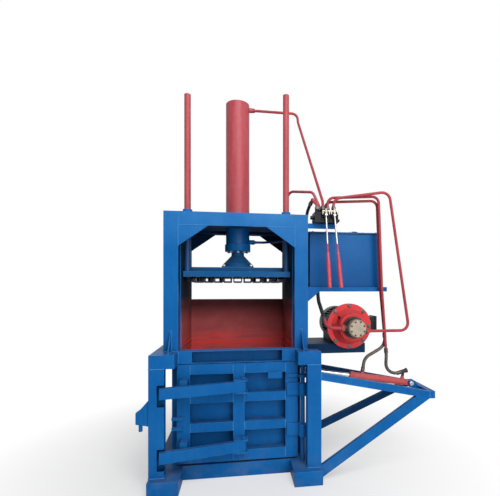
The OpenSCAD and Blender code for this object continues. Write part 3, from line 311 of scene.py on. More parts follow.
def make_piece(name, mesh, body, material):
    """Turns a finished bmesh into a piece of a body."""
    data = bpy.data.meshes.new(name)
    bmesh.ops.recalc_face_normals(mesh, faces=mesh.faces)
    mesh.to_mesh(data)
    mesh.free()
    data.materials.append(material)
    data.shade_smooth()
    data.set_sharp_from_angle(angle=SHARP_ANGLE)
    piece = bpy.data.objects.new(name, data)
    bpy.context.scene.collection.objects.link(piece)
    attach(piece, body)
    return piece


BEAD_R = 0.0045
RIPPLE = 0.007


def bead(mesh, start, end, radius=BEAD_R):
    """Adds a weld bead between two points: overlapping ripples of slightly uneven width."""
    run = Vector(end) - Vector(start)
    count = max(2, round(run.length / RIPPLE))
    step = run.length / count
    profile = [(radius * 0.4, 0.0)]
    for k in range(count):
        crest = radius * (1 + 0.13 * math.sin(2.4 * k) + 0.07 * math.sin(0.37 * k))
        trough = crest * 0.84
        profile += [(crest, step * (k + 0.45)), (trough, step * (k + 0.9))]
    lathe(mesh, profile, start, run, 6)


def bead_round(mesh, corners, radius=BEAD_R):
    """Adds weld beads round a closed outline."""
    for start, end in zip(corners, corners[1:] + corners[:1]):
        bead(mesh, start, end, radius)


def level_outline(x, y, z):
    """The corners of an upright section's foot, from its X and Y limits."""
    return [(x[0], y[0], z), (x[1], y[0], z), (x[1], y[1], z), (x[0], y[1], z)]


post_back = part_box("wall_stiffeners")[1].y
collar_low, collar_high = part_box("collar_beams")[0].z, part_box("collar_beams")[1].z
lower_out, lower_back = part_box("collar_beams")[1].x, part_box("collar_beams")[1].y
base_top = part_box("base_beams")[1].z
beam_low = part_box("top_beams")[0].z
COLUMN_W, COLUMN_D = 0.12, 0.08
GUSSET_W, GUSSET_H = 0.254, 0.18
RIB_H, RIB_HALF = 0.18, 0.006
rib_middle = (post_in + post_out) / 2
rib_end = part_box("gussets")[1].y

frame_welds = bmesh.new()
for side in (-1, 1):
    for front in (-1, 1):
        y_out = front * press_back
        foot = sorted((side * post_in, side * post_out)), sorted((y_out, front * post_back))
        bead_round(frame_welds, level_outline(*foot, collar_high))
        column_x = sorted((side * lower_out, side * (lower_out - COLUMN_W)))
        column_y = sorted((front * lower_back, front * (lower_back - COLUMN_D)))
        bead_round(frame_welds, level_outline(column_x, column_y, base_top))
        bead_round(frame_welds, level_outline(column_x, column_y, collar_low))
        for rib_face in (-RIB_HALF, RIB_HALF):
            x = side * rib_middle + rib_face
            bead(frame_welds, (x, y_out, collar_high), (x, front * rib_end, collar_high))
            bead(frame_welds, (x, y_out, collar_high), (x, y_out, collar_high + RIB_H))
    x = side * post_in
    bead(frame_welds, (x, -press_back, beam_low), (x - side * GUSSET_W, -press_back, beam_low))
    bead(frame_welds, (x, -press_back, beam_low - GUSSET_H), (x, -press_back, press_top))
    bead(frame_welds, (x, -press_back, collar_low), (x, -press_back, collar_high))
    bead(frame_welds, (x, -press_back, collar_high), (x, -post_back, collar_high))
make_piece("frame_welds", frame_welds, "frame", weld_glint_blue)


# The wing that carries the door cylinder.
# Two sloping rails of box section with a cross piece at their end, propped from below by two
# flat braces. The cylinder's eye hangs in a forked bracket on the cross piece.
# Where the painted shade on the wing's rear parts begins and where it is full.
REAR_SHADE_FROM, REAR_SHADE_FULL = -0.32, -0.26


def wing_shade(field, place, colour):
    """Painted shade: the rear rail and its brace, under the pump, are darkened."""
    rear = split(field, place)[1].ramped(REAR_SHADE_FROM, REAR_SHADE_FULL)
    rear_shade = rear * (noise(field, place, 4.0, 4.0) * 0.5 + 0.6).ramped(0.0, 1.0)
    return rear_shade.blend(colour, SHADE_NAVY), rear_shade * 0.3


wing_blue = enamel("wing_blue", BLUE_TINT, BLUE_FADED, BLUE_WORN_GLINT, weather_and_light=wing_shade)
dress(wing_blue, PLATE_EDGE, "wing_beams", "wing_braces", "clevis_bracket")
WING_DROP = 0.07
WING_RAIL_H, WING_RAIL_W = 0.063, 0.04
WING_END_W = 0.05
wing_low, wing_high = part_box("wing_beams")
rail_top = collar_low - WING_DROP
rail_under = rail_top - WING_RAIL_H
rail_front, rail_back = wing_low.y, wing_low.y + WING_RAIL_W
rail_end = wing_high.x - WING_END_W

wing_welds = bmesh.new()
joint = [(rail_front, rail_top), (rail_back, rail_top), (rail_back, rail_under), (rail_front, rail_under)]
bead_round(wing_welds, [(lower_out, y, z) for y, z in joint])
for y in (wing_low.y, wing_high.y):
    bead(wing_welds, (rail_end, y, wing_low.z), (rail_end, y, wing_low.z + WING_RAIL_H))
make_piece("wing_welds", wing_welds, "frame", weld_glint_blue)


# The bale box.
# Plate walls welded inside the frame, red inside and blue outside. The red is scuffed, duller and darkened
# higher up by painted shade, near black at the top of the walls, and brighter low down, partly rubbed by
# the bales and partly painted light.
BOX_RED, BOX_SCUFFED = (0.37, 0.066, 0.07, 1), (0.45, 0.105, 0.105, 1)
# A bright red that stands partly for paint rubbed by the bales and partly for a painted pool of light;
# darker colours for painted shade.
BOX_RUBBED_LIT = (0.84, 0.055, 0.05, 1)
BOX_SHADE, BOX_SHADE_BLACK = (0.06, 0.018, 0.02, 1), (0.006, 0.012, 0.028, 1)
RUB_LIGHT_FULL, RUB_LIGHT_END = 1.1, 1.21
BOX_SHADE_FROM, BOX_SHADE_FULL = 1.3, 1.46
BLACK_SHADE_FROM, BLACK_SHADE_FULL = 1.5, 1.56
WALL_SKIN = 0.004
SCUFF_DEPTH = 0.003
FINE_EDGE = 0.002


def box_paint():
    """Red inside the walls' inner faces and blue outside them."""
    made, field, shader = new_finish("bale_box_paint")
    place = object_place(field)
    x, y, z = split(field, place)
    smear = noise(field, stretched(field, place, 0.8, 0.8, 16.0), 3.0, 6.0, 0.6)
    scuff = noise(field, place, 6.0, 6.0, 0.65)
    red = scuff.ramped(0.3, 0.75).blend(BOX_RED, BOX_SCUFFED)
    # Low down the red is brightened: paint rubbed by the bales and a painted pool of light.
    rubbed_lit = (1 - z.ramped(RUB_LIGHT_FULL, RUB_LIGHT_END)) * smear.ramped(0.4, 0.62)
    red = (rubbed_lit * 0.85).blend(red, BOX_RUBBED_LIT)
    # Higher up the red is darkened with painted shade, and near black at the top of the walls.
    upper_shade = (z.ramped(BOX_SHADE_FROM, BOX_SHADE_FULL) * (scuff * 0.4 + 0.7)).ramped(0.0, 1.0)
    red = upper_shade.blend(red, BOX_SHADE)
    red = z.ramped(BLACK_SHADE_FROM, BLACK_SHADE_FULL).blend(red, BOX_SHADE_BLACK)
    blue = enamel_coat(field, place, BLUE_TINT, BLUE_FADED)
    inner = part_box("chamber_floor")[1]
    inside = (x.unsigned() < inner.x + WALL_SKIN) * (y < inner.y + WALL_SKIN)
    feed(field, shader, Base_Color=inside.blend(blue, red), Roughness=0.8 - rubbed_lit * 0.5 + upper_shade * 0.2)
    feed(field, shader, Normal=bump(field, smear * 0.5 + scuff, 0.15, SCUFF_DEPTH), Specular_IOR_Level=0.12)
    return made


dress(box_paint(), FINE_EDGE, "chamber_floor", "side_walls", "rear_wall")


# The press cylinder.
# A drawn steel barrel in faded red enamel with its lower end, under the deck, sprayed blue with
# the frame. It stands on a bolted flange, and a screwed gland closes its foot.
RED_TINT = (0.33, 0.036, 0.048, 1)
RED_FADED = (0.43, 0.082, 0.096, 1)
# A light red for the edges, standing for rubbed paint and for a painted highlight.
RED_WORN_GLINT = (0.6, 0.3, 0.29, 1)
RED_RUBBED_GLINT_RADIUS = 0.004
SPRAY_EDGE = 0.004
SPRAY_DRIFT = 0.012


def two_tone(name, change, below, drawn=0.0):
    """Faded red enamel above a height and another coat below it, with streaks along the piece."""
    made, field, shader = new_finish(name)
    place = object_place(field)
    streak = noise(field, stretched(field, place, 9.0, 9.0, 0.7), 3.0, 5.0)
    mottle = noise(field, place, 22.0, 4.0)
    red = (streak * 0.7 + mottle * 0.3).ramped(0.32, 0.7).blend(RED_TINT, RED_FADED)
    other = enamel_coat(field, place, below, BLUE_TINT)
    height = split(field, place)[2] + noise(field, place, 40.0) * SPRAY_DRIFT - SPRAY_DRIFT / 2
    colour = height.ramped(change - SPRAY_EDGE, change + SPRAY_EDGE).blend(other, red)
    # Edges lightened: partly rubbed paint, partly a painted highlight.
    colour = (edge_wear_and_glint(field, place, RED_RUBBED_GLINT_RADIUS) * 0.3).blend(colour, RED_WORN_GLINT)
    feed(field, shader, Base_Color=colour, Roughness=streak * 0.2 + (0.34 + drawn))
    feed(field, shader, Normal=bump(field, streak + mottle * 0.3, 0.08, PEEL_DEPTH), Specular_IOR_Level=0.3)
    return made


FLANGE_T = 0.03
deck_low, deck_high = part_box("deck_plate")[0].z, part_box("deck_plate")[1].z
flange_top = deck_high + FLANGE_T
red_enamel = enamel("red_enamel", RED_TINT, RED_FADED, RED_WORN_GLINT, 0.38)
dress(two_tone("press_barrel_paint", flange_top, BLUE_TINT), PLATE_EDGE, "press_barrel")
dress(blue_enamel, PLATE_EDGE, "cylinder_gland")

UP, DOWN = (0, 0, 1), (0, 0, -1)
RIGHT, LEFT = (1, 0, 0), (-1, 0, 0)
FORWARD = (0, -1, 0)
SUNK = 0.002


def bolt(mesh, at, axis, size):
    """Adds a washer and a chamfered hexagon head; size is the head's width over its corners."""
    washer = [(size * 0.72, -SUNK), (size * 0.72, size * 0.1), (size * 0.66, size * 0.13)]
    lathe(mesh, washer, at, axis)
    head = [(size * 0.5, size * 0.12), (size * 0.5, size * 0.44), (size * 0.44, size * 0.5)]
    lathe(mesh, head, at, axis, 6)


def bolt_circle(mesh, middle, axis, radius, count, size, turn=0.5):
    """Adds bolts evenly round an axis, the first one turned by a share of their pitch."""
    axis = Vector(axis)
    across = Vector((1, 0, 0)) if abs(axis.x) < 0.9 else Vector((0, 0, 1))
    over = axis.cross(across)
    for k in range(count):
        angle = 2 * math.pi * (k + turn) / count
        at = Vector(middle) + radius * (math.cos(angle) * across + math.sin(angle) * over)
        bolt(mesh, at, axis, size)


FLANGE_BOLT_R, FLANGE_BOLT = 0.141, 0.026
GLAND_BOLT_R, GLAND_BOLT = 0.096, 0.022
CYLINDER_BOLT_N = 8
gland_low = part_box("cylinder_gland")[0].z
cylinder_bolts = bmesh.new()
bolt_circle(cylinder_bolts, (0, 0, flange_top), UP, FLANGE_BOLT_R, CYLINDER_BOLT_N, FLANGE_BOLT)
bolt_circle(cylinder_bolts, (0, 0, gland_low), DOWN, GLAND_BOLT_R, CYLINDER_BOLT_N, GLAND_BOLT)
make_piece("cylinder_bolts", cylinder_bolts, "frame", blue_enamel)


# The ram.
# A hard-chromed rod with a bolted cone on its end, and the platen below it: a plate with an edge
# band, two long beams and press channels. Two guide rods rise from it through the deck.
CHROME, CHROME_OILED = (0.78, 0.79, 0.8, 1), (0.58, 0.58, 0.6, 1)


def chromed():
    """Bright chrome under an uneven film of oil."""
    made, field, shader = new_finish("hard_chrome")
    oil = noise(field, object_place(field), 30.0, 4.0)
    feed(field, shader, Metallic=1.0, Base_Color=oil.ramped(0.35, 0.75).blend(CHROME, CHROME_OILED))
    feed(field, shader, Roughness=oil * 0.16 + 0.1)
    return made


dress(chromed(), FINE_EDGE, "press_rod", "door_rod")
PLATEN_TINT, PLATEN_FADED = (0.001, 0.066, 0.2, 1), (0.02, 0.1, 0.25, 1)
platen_blue = enamel("platen_blue", PLATEN_TINT, PLATEN_FADED, BLUE_WORN_GLINT, 0.45, 0.8)
dress(platen_blue, PLATE_EDGE, "rod_flange", "platen")
# The channels are painted near-black navy: blue paint darkened with painted shade inside the open channels.
CHANNEL_TINT, CHANNEL_FADED = (0.004, 0.012, 0.028, 1), (0.007, 0.02, 0.045, 1)
CHANNEL_WORN_GLINT = (0.05, 0.07, 0.1, 1)
CHANNEL_EDGE = 0.0015
channel_shade = enamel("channel_shade", CHANNEL_TINT, CHANNEL_FADED, CHANNEL_WORN_GLINT, 0.5, 0.3)
dress(channel_shade, CHANNEL_EDGE, "platen_channels")
# A dark navy for parts under the deck: their blue paint with painted shade.
SHADED = (0.003, 0.02, 0.06, 1)
dress(two_tone("guide_rod_paint", deck_low, SHADED, 0.05), FINE_EDGE, "guide_rods")


GRAIN_DEPTH = 0.001


def bare_metal(name, tint, dark, rough, metallic):
    """Unpainted metal with a fine grain and darker stains."""
    made, field, shader = new_finish(name)
    place = object_place(field)
    grain = noise(field, place, 90.0, 4.0)
    stain = noise(field, place, 14.0, 5.0).ramped(0.45, 0.8)
    feed(field, shader, Base_Color=(stain * 0.8).blend(tint, dark), Metallic=metallic)
    feed(field, shader, Roughness=grain * 0.2 + rough, Normal=bump(field, grain, 0.15, GRAIN_DEPTH))
    return made


ZINC, ZINC_DARK = (0.55, 0.53, 0.47, 1), (0.3, 0.28, 0.24, 1)
zinc = bare_metal("zinc_plate", ZINC, ZINC_DARK, 0.3, 0.85)
ROD_PLATE_T = 0.015
ROD_BOLT_OUT, ROD_BOLT = 0.128, 0.03
rod_plate_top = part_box("rod_flange")[0].z + ROD_PLATE_T
ram_bolts = bmesh.new()
for x in (-ROD_BOLT_OUT, ROD_BOLT_OUT):
    for y in (-ROD_BOLT_OUT, ROD_BOLT_OUT):
        bolt(ram_bolts, (x, y, rod_plate_top), UP, ROD_BOLT)
make_piece("ram_bolts", ram_bolts, "ram", zinc)

BEAM_FACE, BEAM_SHORT = 0.195, 0.06
PLATEN_PLATE_T = 0.021
platen_low, platen_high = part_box("platen")
plate_top = platen_low.z + PLATEN_PLATE_T
beam_start, beam_end = platen_low.x + BEAM_SHORT, platen_high.x - BEAM_SHORT
rod_plate_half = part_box("rod_flange")[1].x
rod_plate = (-rod_plate_half, rod_plate_half)
ram_welds = bmesh.new()
for y in (-BEAM_FACE, BEAM_FACE):
    bead(ram_welds, (beam_start, y, plate_top), (beam_end, y, plate_top))
bead_round(ram_welds, level_outline(rod_plate, rod_plate, platen_high.z))
make_piece("ram_welds", ram_welds, "ram", weld_glint_blue)


# The door.
# A plate behind a grid of box ribs, hung on knuckles that turn on one long rod. Two hinged arms
# lie across it and rest in the notches of the lock column.
dress(blue_enamel, SECTION_EDGE, "door_panel", "door_knuckles", "arm_brackets", "door_crank", "upper_arm",
      "lower_arm")
dress(blue_enamel, FINE_EDGE, "hinge_rod")
DOOR_SET_BACK = 0.005
RAIL_N, RAIL_H = 4, 0.078
RAIL_FOOT, RAIL_HEAD = 0.014, 0.01
STILE_W, MIDDLE_STILE = 0.11, (-0.04, 0.06)
LATCH_OUT = 0.04
DOOR_BEAD_R = 0.0035
ARM_HALF = 0.044
LUG_UP = 0.045
LUG_LEFT, LUG_RIGHT = -0.034, 0.084
door_low, door_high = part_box("door_panel")
door_face = DOOR_SET_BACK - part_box("lintels")[1].y
rail_first = door_low.z + RAIL_FOOT
rail_pitch = (door_high.z - RAIL_H - RAIL_HEAD - rail_first) / (RAIL_N - 1)
stile_edges = (door_low.x + LATCH_OUT + STILE_W, *MIDDLE_STILE, door_high.x - STILE_W)
arm_middles = [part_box(arm)[0].z + ARM_HALF for arm in ("upper_arm", "lower_arm")]
door_welds = bmesh.new()
for k in range(RAIL_N):
    rail = rail_first + k * rail_pitch
    for x in stile_edges:
        bead(door_welds, (x, door_face, rail), (x, door_face, rail + RAIL_H), DOOR_BEAD_R)
for middle in arm_middles:
    for lug in (middle + LUG_UP, middle - LUG_UP):
        bead(door_welds, (LUG_LEFT, door_face, lug), (LUG_RIGHT, door_face, lug))
make_piece("door_welds", door_welds, "door", weld_glint_blue)

PIN_HEAD = [(0.021, 0), (0.021, 0.006), (0.0147, 0.01)]
ARM_PIN = (0.05, -0.508)
PIN_OVER = 0.0195
pin_out = ARM_HALF + PIN_OVER
pin_heads = bmesh.new()
for middle in arm_middles:
    for turn in (-1, 1):
        lathe(pin_heads, PIN_HEAD, (*ARM_PIN, middle + turn * pin_out), (0, 0, turn))
make_piece("arm_pin_heads", pin_heads, "door", blue_enamel)


# The door cylinder.
# A small red cylinder with a dirty, sun-faded coat that pulls a slotted yoke along under the rail.
# Its rear eye is pinned in the fork.
CYLINDER_RED, CYLINDER_FADED = (0.5, 0.085, 0.09, 1), (0.6, 0.135, 0.14, 1)
CYLINDER_WORN, CYLINDER_OILED = (0.25, 0.12, 0.1, 1), (0.2, 0.05, 0.05, 1)
ELBOW_BROWN = (0.06, 0.045, 0.04, 1)
ELBOW_X, ELBOW_Z = 1.46, 0.806


def cylinder_coat(field, place, colour):
    """Oil stains along the barrel, and a bare, browned elbow on the rear port."""
    axes = split(field, place)
    stained = noise(field, stretched(field, place, 3.0, 9.0, 9.0), 4.0, 5.0).ramped(0.55, 0.8) * 0.5
    colour = stained.blend(colour, CYLINDER_OILED)
    elbow = (axes[0] > ELBOW_X) * (axes[2] > ELBOW_Z)
    return elbow.blend(colour, ELBOW_BROWN), 0.0


cylinder_red = enamel("door_cylinder_paint", CYLINDER_RED, CYLINDER_FADED, CYLINDER_WORN, 0.42,
                      weather_and_light=cylinder_coat)
dress(cylinder_red, FINE_EDGE, "door_barrel")
FORK_CAP = [(0.02, -0.002), (0.02, 0.004), (0.016, 0.007)]
EYE_X, EYE_R = 1.61, 0.022
CAP_IN = 0.006
fork_low, fork_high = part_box("clevis_bracket")
eye_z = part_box("door_barrel")[0].z + EYE_R
fork_pin = bmesh.new()
for y, turn in ((fork_low.y, -1), (fork_high.y, 1)):
    lathe(fork_pin, FORK_CAP, (EYE_X, y - turn * CAP_IN, eye_z), (0, turn, 0))
make_piece("fork_pin_caps", fork_pin, "frame", zinc)


# The oil tank.
# A folded sheet box in the frame's blue with a bolted lid, on a shelf of angle. The sheet is
# glossier than the frame, and the lid has a filler with a ribbed cap.
TANK_TINT, TANK_FADED = (0.001, 0.068, 0.24, 1), (0.01, 0.105, 0.32, 1)
# A light blue laid as a painted reflection, and a dark blue laid as painted shade.
TANK_SHEEN_BLUE, TANK_SHADED = (0.11, 0.32, 0.58, 1), (0.001, 0.05, 0.17, 1)
SHEEN_MIDDLE = (1.03, -0.36, 2.05)
SHEEN_FULL, SHEEN_END = 0.04, 0.36
SHADE_FULL, SHADE_END = 1.65, 1.95


def tank_light_and_shade(field, place, colour):
    """A painted reflection high on the front sheet, and painted shade towards its foot."""
    ends = {0: place, 1: SHEEN_MIDDLE}
    away = field.node("ShaderNodeVectorMath", {"operation": "DISTANCE"}, ends, "Value")
    # Painted reflection: a light patch high on the front sheet; below it, painted shade darkens the foot.
    lit_patch = (1 - away.ramped(SHEEN_FULL, SHEEN_END)) * 0.09
    colour = lit_patch.blend(colour, TANK_SHEEN_BLUE)
    shaded = (1 - split(field, place)[2].ramped(SHADE_FULL, SHADE_END)) * 0.4
    return shaded.blend(colour, TANK_SHADED), 0.0


tank_blue = enamel("tank_blue", TANK_TINT, TANK_FADED, BLUE_WORN_GLINT, 0.3, 0.35, weather_and_light=tank_light_and_shade)
dress(tank_blue, SECTION_EDGE, "oil_tank", "tank_lid")
dress(blue_enamel, PLATE_EDGE, "tank_shelf")
LID_T = 0.012
LID_BOLT = 0.016
LONG_SIDE_N, SHORT_SIDE_N = 6, 3
CORNER_GAP, RIM_IN = 0.03, 0.006
tank_low, tank_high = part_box("oil_tank")
lid_top = tank_high.z + LID_T
long_pitch = (tank_high.x - tank_low.x - 2 * CORNER_GAP) / (LONG_SIDE_N - 1)
short_pitch = (tank_high.y - tank_low.y) / (SHORT_SIDE_N + 1)
lid_bolts = bmesh.new()
for k in range(LONG_SIDE_N):
    for y in (tank_low.y + RIM_IN, tank_high.y - RIM_IN):
        bolt(lid_bolts, (tank_low.x + CORNER_GAP + k * long_pitch, y, lid_top), UP, LID_BOLT)
for k in range(SHORT_SIDE_N):
    for x in (tank_low.x + RIM_IN, tank_high.x - RIM_IN):
        bolt(lid_bolts, (x, tank_low.y + (k + 1) * short_pitch, lid_top), UP, LID_BOLT)
make_piece("lid_bolts", lid_bolts, "frame", zinc)

GASKET_BLACK, GASKET_GREY = (0.008, 0.01, 0.014, 1), (0.02, 0.022, 0.026, 1)


def gasket_skin():
    """Dull pressed rubber."""
    made, field, shader = new_finish("gasket_skin")
    grain = noise(field, object_place(field), 120.0, 3.0)
    feed(field, shader, Base_Color=grain.blend(GASKET_BLACK, GASKET_GREY))
    feed(field, shader, Roughness=grain * 0.2 + 0.6, Normal=bump(field, grain, 0.2, GRAIN_DEPTH))
    return made


GASKET_OUT, GASKET_DOWN, GASKET_UP = 0.003, 0.005, 0.001
lid_gasket = bmesh.new()
for corner in bmesh.ops.create_cube(lid_gasket, size=1.0)["verts"]:
    corner.co.x = tank_low.x - GASKET_OUT if corner.co.x < 0 else tank_high.x + GASKET_OUT
    corner.co.y = tank_low.y - GASKET_OUT if corner.co.y < 0 else tank_high.y + GASKET_OUT
    corner.co.z = tank_high.z - GASKET_DOWN if corner.co.z < 0 else tank_high.z + GASKET_UP
level_faces = [face for face in lid_gasket.faces if abs(face.normal.z) > 0.5]
bmesh.ops.delete(lid_gasket, geom=level_faces, context="FACES_ONLY")
gasket_piece = make_piece("lid_gasket", lid_gasket, "frame", gasket_skin())
thick = gasket_piece.modifiers.new("thickness", "SOLIDIFY")
thick.thickness = GASKET_OUT

FILLER_R, FILLER_RIB_N = 0.0425, 28
FILLER_RIB = [(0.0028, 0), (0.0028, 0.022), (0.0016, 0.025)]
FILLER_UP = 0.033
FILLER_FROM_RIGHT, FILLER_FROM_BACK = 0.14, 0.12
filler_x, filler_y = tank_high.x - FILLER_FROM_RIGHT, tank_high.y - FILLER_FROM_BACK
filler_ribs = bmesh.new()
for k in range(FILLER_RIB_N):
    angle = 2 * math.pi * k / FILLER_RIB_N
    rib_x, rib_y = filler_x + FILLER_R * math.cos(angle), filler_y + FILLER_R * math.sin(angle)
    lathe(filler_ribs, FILLER_RIB, (rib_x, rib_y, lid_top + FILLER_UP), UP, 8)
make_piece("filler_ribs", filler_ribs, "frame", tank_blue)


# The valve.
# A black cast block with screwed ports on top and a red return bend. Each spool end carries a
# plated cross piece, from which a chromed lever with a red moulded grip hangs.
VALVE_BLACK, VALVE_DUSTY = (0.004, 0.0045, 0.006, 1), (0.014, 0.014, 0.015, 1)
VALVE_OUT, VALVE_FORWARD = 0.048, 0.06
PORT_UP, BEND_UP = 0.126, 0.001
CAST_DEPTH = 0.002
valve_left, valve_front = post_out + VALVE_OUT, -press_back - VALVE_FORWARD
valve_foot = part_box("valve_bracket")[1].z
port_top = valve_foot + PORT_UP


def casting(name, tint, dusty, rough, red_above=None):
    """Dusty cast iron, painted red above a height where one is given."""
    made, field, shader = new_finish(name)
    place = object_place(field)
    grain = noise(field, place, 180.0, 3.0)
    dust = noise(field, place, 9.0, 5.0).ramped(0.45, 0.8)
    colour = (dust * 0.6).blend(tint, dusty)
    if red_above:
        painted = split(field, place)[2] > red_above
        colour = painted.blend(colour, dust.blend(RED_TINT, RED_FADED))
    feed(field, shader, Base_Color=colour, Roughness=dust * 0.2 + rough)
    feed(field, shader, Normal=bump(field, grain, 0.25, CAST_DEPTH), Specular_IOR_Level=0.16)
    return made


valve_iron = casting("valve_iron", VALVE_BLACK, VALVE_DUSTY, 0.4, port_top + BEND_UP)
dress(valve_iron, PLATE_EDGE, "valve_body")
LEVER_BRIGHT, LEVER_OILED = (0.62, 0.63, 0.64, 1), (0.4, 0.4, 0.42, 1)
LEVER_RED = (0.46, 0.038, 0.062, 1)
DIP_TOP, DIP_EDGE = 2.02, 0.002
ROD_EDGE = 0.001


def lever_finish():
    """Bright chrome, with the stretch above the grip painted red."""
    made, field, shader = new_finish("lever_finish")
    place = object_place(field)
    oil = noise(field, place, 30.0, 4.0)
    dipped = 1 - split(field, place)[2].ramped(DIP_TOP - DIP_EDGE, DIP_TOP + DIP_EDGE)
    bright = oil.ramped(0.35, 0.75).blend(LEVER_BRIGHT, LEVER_OILED)
    feed(field, shader, Base_Color=dipped.blend(bright, LEVER_RED), Metallic=1 - dipped)
    feed(field, shader, Roughness=oil * 0.16 + 0.16)
    return made


dress(lever_finish(), ROD_EDGE, "press_lever", "door_lever")
STEEL_DARK, STEEL_BLACK = (0.1, 0.095, 0.09, 1), (0.04, 0.036, 0.034, 1)
dark_steel = bare_metal("dark_steel", STEEL_DARK, STEEL_BLACK, 0.34, 0.8)
PORT_NUT = [(0.0205, -0.001), (0.0205, 0.016), (0.0185, 0.019), (0.0165, 0.02), (0.0155, 0.03)]
PORTS = [(0.032, 0.055), (0.064, 0.095), (0.084, 0.055), (0.114, 0.095), (0.128, 0.055), (0.178, 0.035)]
valve_nuts = bmesh.new()
for right, back in PORTS:
    lathe(valve_nuts, PORT_NUT, (valve_left + right, valve_front + back, port_top), UP, 6)
make_piece("valve_nuts", valve_nuts, "frame", dark_steel)

BRONZE, BRONZE_DARK = (0.5, 0.45, 0.36, 1), (0.28, 0.24, 0.18, 1)
bronze = bare_metal("spool_bronze", BRONZE, BRONZE_DARK, 0.28, 0.7)
CROSS_HALF = 0.034
CROSS_BAR = [(0.005, 0), (0.008, 0.003), (0.008, 2 * CROSS_HALF - 0.003), (0.005, 2 * CROSS_HALF)]
CROSS_BOSS = [(0.011, 0), (0.014, 0.004), (0.014, 0.03), (0.009, 0.036), (0.009, 0.044)]
CROSS_PRONG = [(0.006, 0), (0.007, 0.002), (0.007, 0.03), (0.004, 0.034)]
BAR_UP, BOSS_UP, PRONG_UP = 0.034, 0.012, 0.036
PRONG_OUT = CROSS_HALF - 0.006
LEVER_FORWARD, LEVER_UP = 0.024, 0.062
lever_places = {"press": valve_left + 0.095, "door": valve_left + 0.171}
lever_y, lever_z = valve_front - LEVER_FORWARD, valve_foot + LEVER_UP
for name, x in lever_places.items():
    cross = bmesh.new()
    lathe(cross, CROSS_BAR, (x - CROSS_HALF, lever_y, lever_z + BAR_UP), RIGHT, 16)
    lathe(cross, CROSS_BOSS, (x, lever_y, lever_z + BOSS_UP), UP, 16)
    for out in (-PRONG_OUT, PRONG_OUT):
        lathe(cross, CROSS_PRONG, (x + out, lever_y, lever_z + PRONG_UP), DOWN, 12)
    make_piece(name + "_cross", cross, name + "_handle", bronze)

GRIP_RED, GRIP_WORN = (0.47, 0.036, 0.062, 1), (0.56, 0.085, 0.12, 1)
GRIP_RINGS = 900.0


def grip_skin():
    """Moulded red plastic with fine rings, a little worn."""
    made, field, shader = new_finish("grip_skin")
    place = object_place(field)
    wear = noise(field, place, 25.0, 4.0)
    colour = wear.ramped(0.4, 0.75).blend(GRIP_RED, GRIP_WORN)
    turns = split(field, place)[2] * GRIP_RINGS
    rings = turns.math("SINE", turns)
    feed(field, shader, Base_Color=colour, Roughness=wear * 0.2 + 0.4)
    feed(field, shader, Normal=bump(field, rings, 0.1, GRAIN_DEPTH))
    return made


moulded_red = grip_skin()
LEVER_LEN = 0.64
LEVER_LEAN = {"press": math.radians(3.0), "door": math.radians(5.5)}
GRIP_FORM = [(0.012, 0), (0.0165, 0.004), (0.0175, 0.012), (0.0175, 0.19), (0.0165, 0.23), (0.0125, 0.285),
             (0.011, 0.312), (0.0095, 0.315)]
for name, x in lever_places.items():
    slope = Vector((-math.sin(LEVER_LEAN[name]), 0, math.cos(LEVER_LEAN[name])))
    foot = Vector((x, lever_y, lever_z)) - slope * LEVER_LEN
    grip = bmesh.new()
    lathe(grip, GRIP_FORM, foot, slope, 28)
    node = name + "_grip"
    moulded = make_piece(node + "_moulding", grip, name + "_handle", moulded_red)
    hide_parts(node)


# The motor and the pump.
# A finned black motor on feet, a red cast bell housing and a gear pump with a bright round cover
# held by eight socket screws.
MOTOR_TINT, MOTOR_DUST = (0.003, 0.0035, 0.007, 1), (0.011, 0.012, 0.015, 1)
motor_black = casting("motor_black", MOTOR_TINT, MOTOR_DUST, 0.36)
dress(motor_black, FINE_EDGE, "motor_body", "fan_cover", "terminal_box", "cooling_fan")
# The motor base is painted dark navy: its blue paint darkened with painted shade.
BASE_TINT, BASE_FADED, BASE_WORN_GLINT = (0.0018, 0.014, 0.04, 1), (0.002, 0.04, 0.12, 1), (0.03, 0.1, 0.22, 1)
base_shaded_blue = enamel("motor_base_blue", BASE_TINT, BASE_FADED, BASE_WORN_GLINT, 0.5)
dress(base_shaded_blue, PLATE_EDGE, "motor_base")
BELL_TINT, BELL_FADED, BELL_WORN_GLINT = (0.54, 0.032, 0.036, 1), (0.62, 0.064, 0.064, 1), (0.7, 0.3, 0.28, 1)
bell_red = enamel("bell_red", BELL_TINT, BELL_FADED, BELL_WORN_GLINT, 0.3, 0.4)
dress(bell_red, PLATE_EDGE, "bell_housing")
BELL_BOLT_R, BELL_BOLT, BELL_BOLT_N = 0.181, 0.024, 8
BELL_FLANGE_T = 0.022
MOTOR_OUT = 0.28
bell_low, bell_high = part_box("bell_housing")
motor_x, motor_z = lower_out + MOTOR_OUT, (bell_low.z + bell_high.z) / 2
bell_face = bell_high.y - BELL_FLANGE_T
bell_bolts = bmesh.new()
bolt_circle(bell_bolts, (motor_x, bell_face, motor_z), FORWARD, BELL_BOLT_R, BELL_BOLT_N, BELL_BOLT, 0.0)
make_piece("bell_bolts", bell_bolts, "frame", dark_steel)

COVER_BRIGHT, COVER_STAINED = (0.26, 0.218, 0.165, 1), (0.16, 0.134, 0.104, 1)
HOUSING_DARK, HOUSING_STAINED = (0.022, 0.02, 0.02, 1), (0.05, 0.044, 0.04, 1)
COVER_T = 0.041
pump_low, pump_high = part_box("pump")


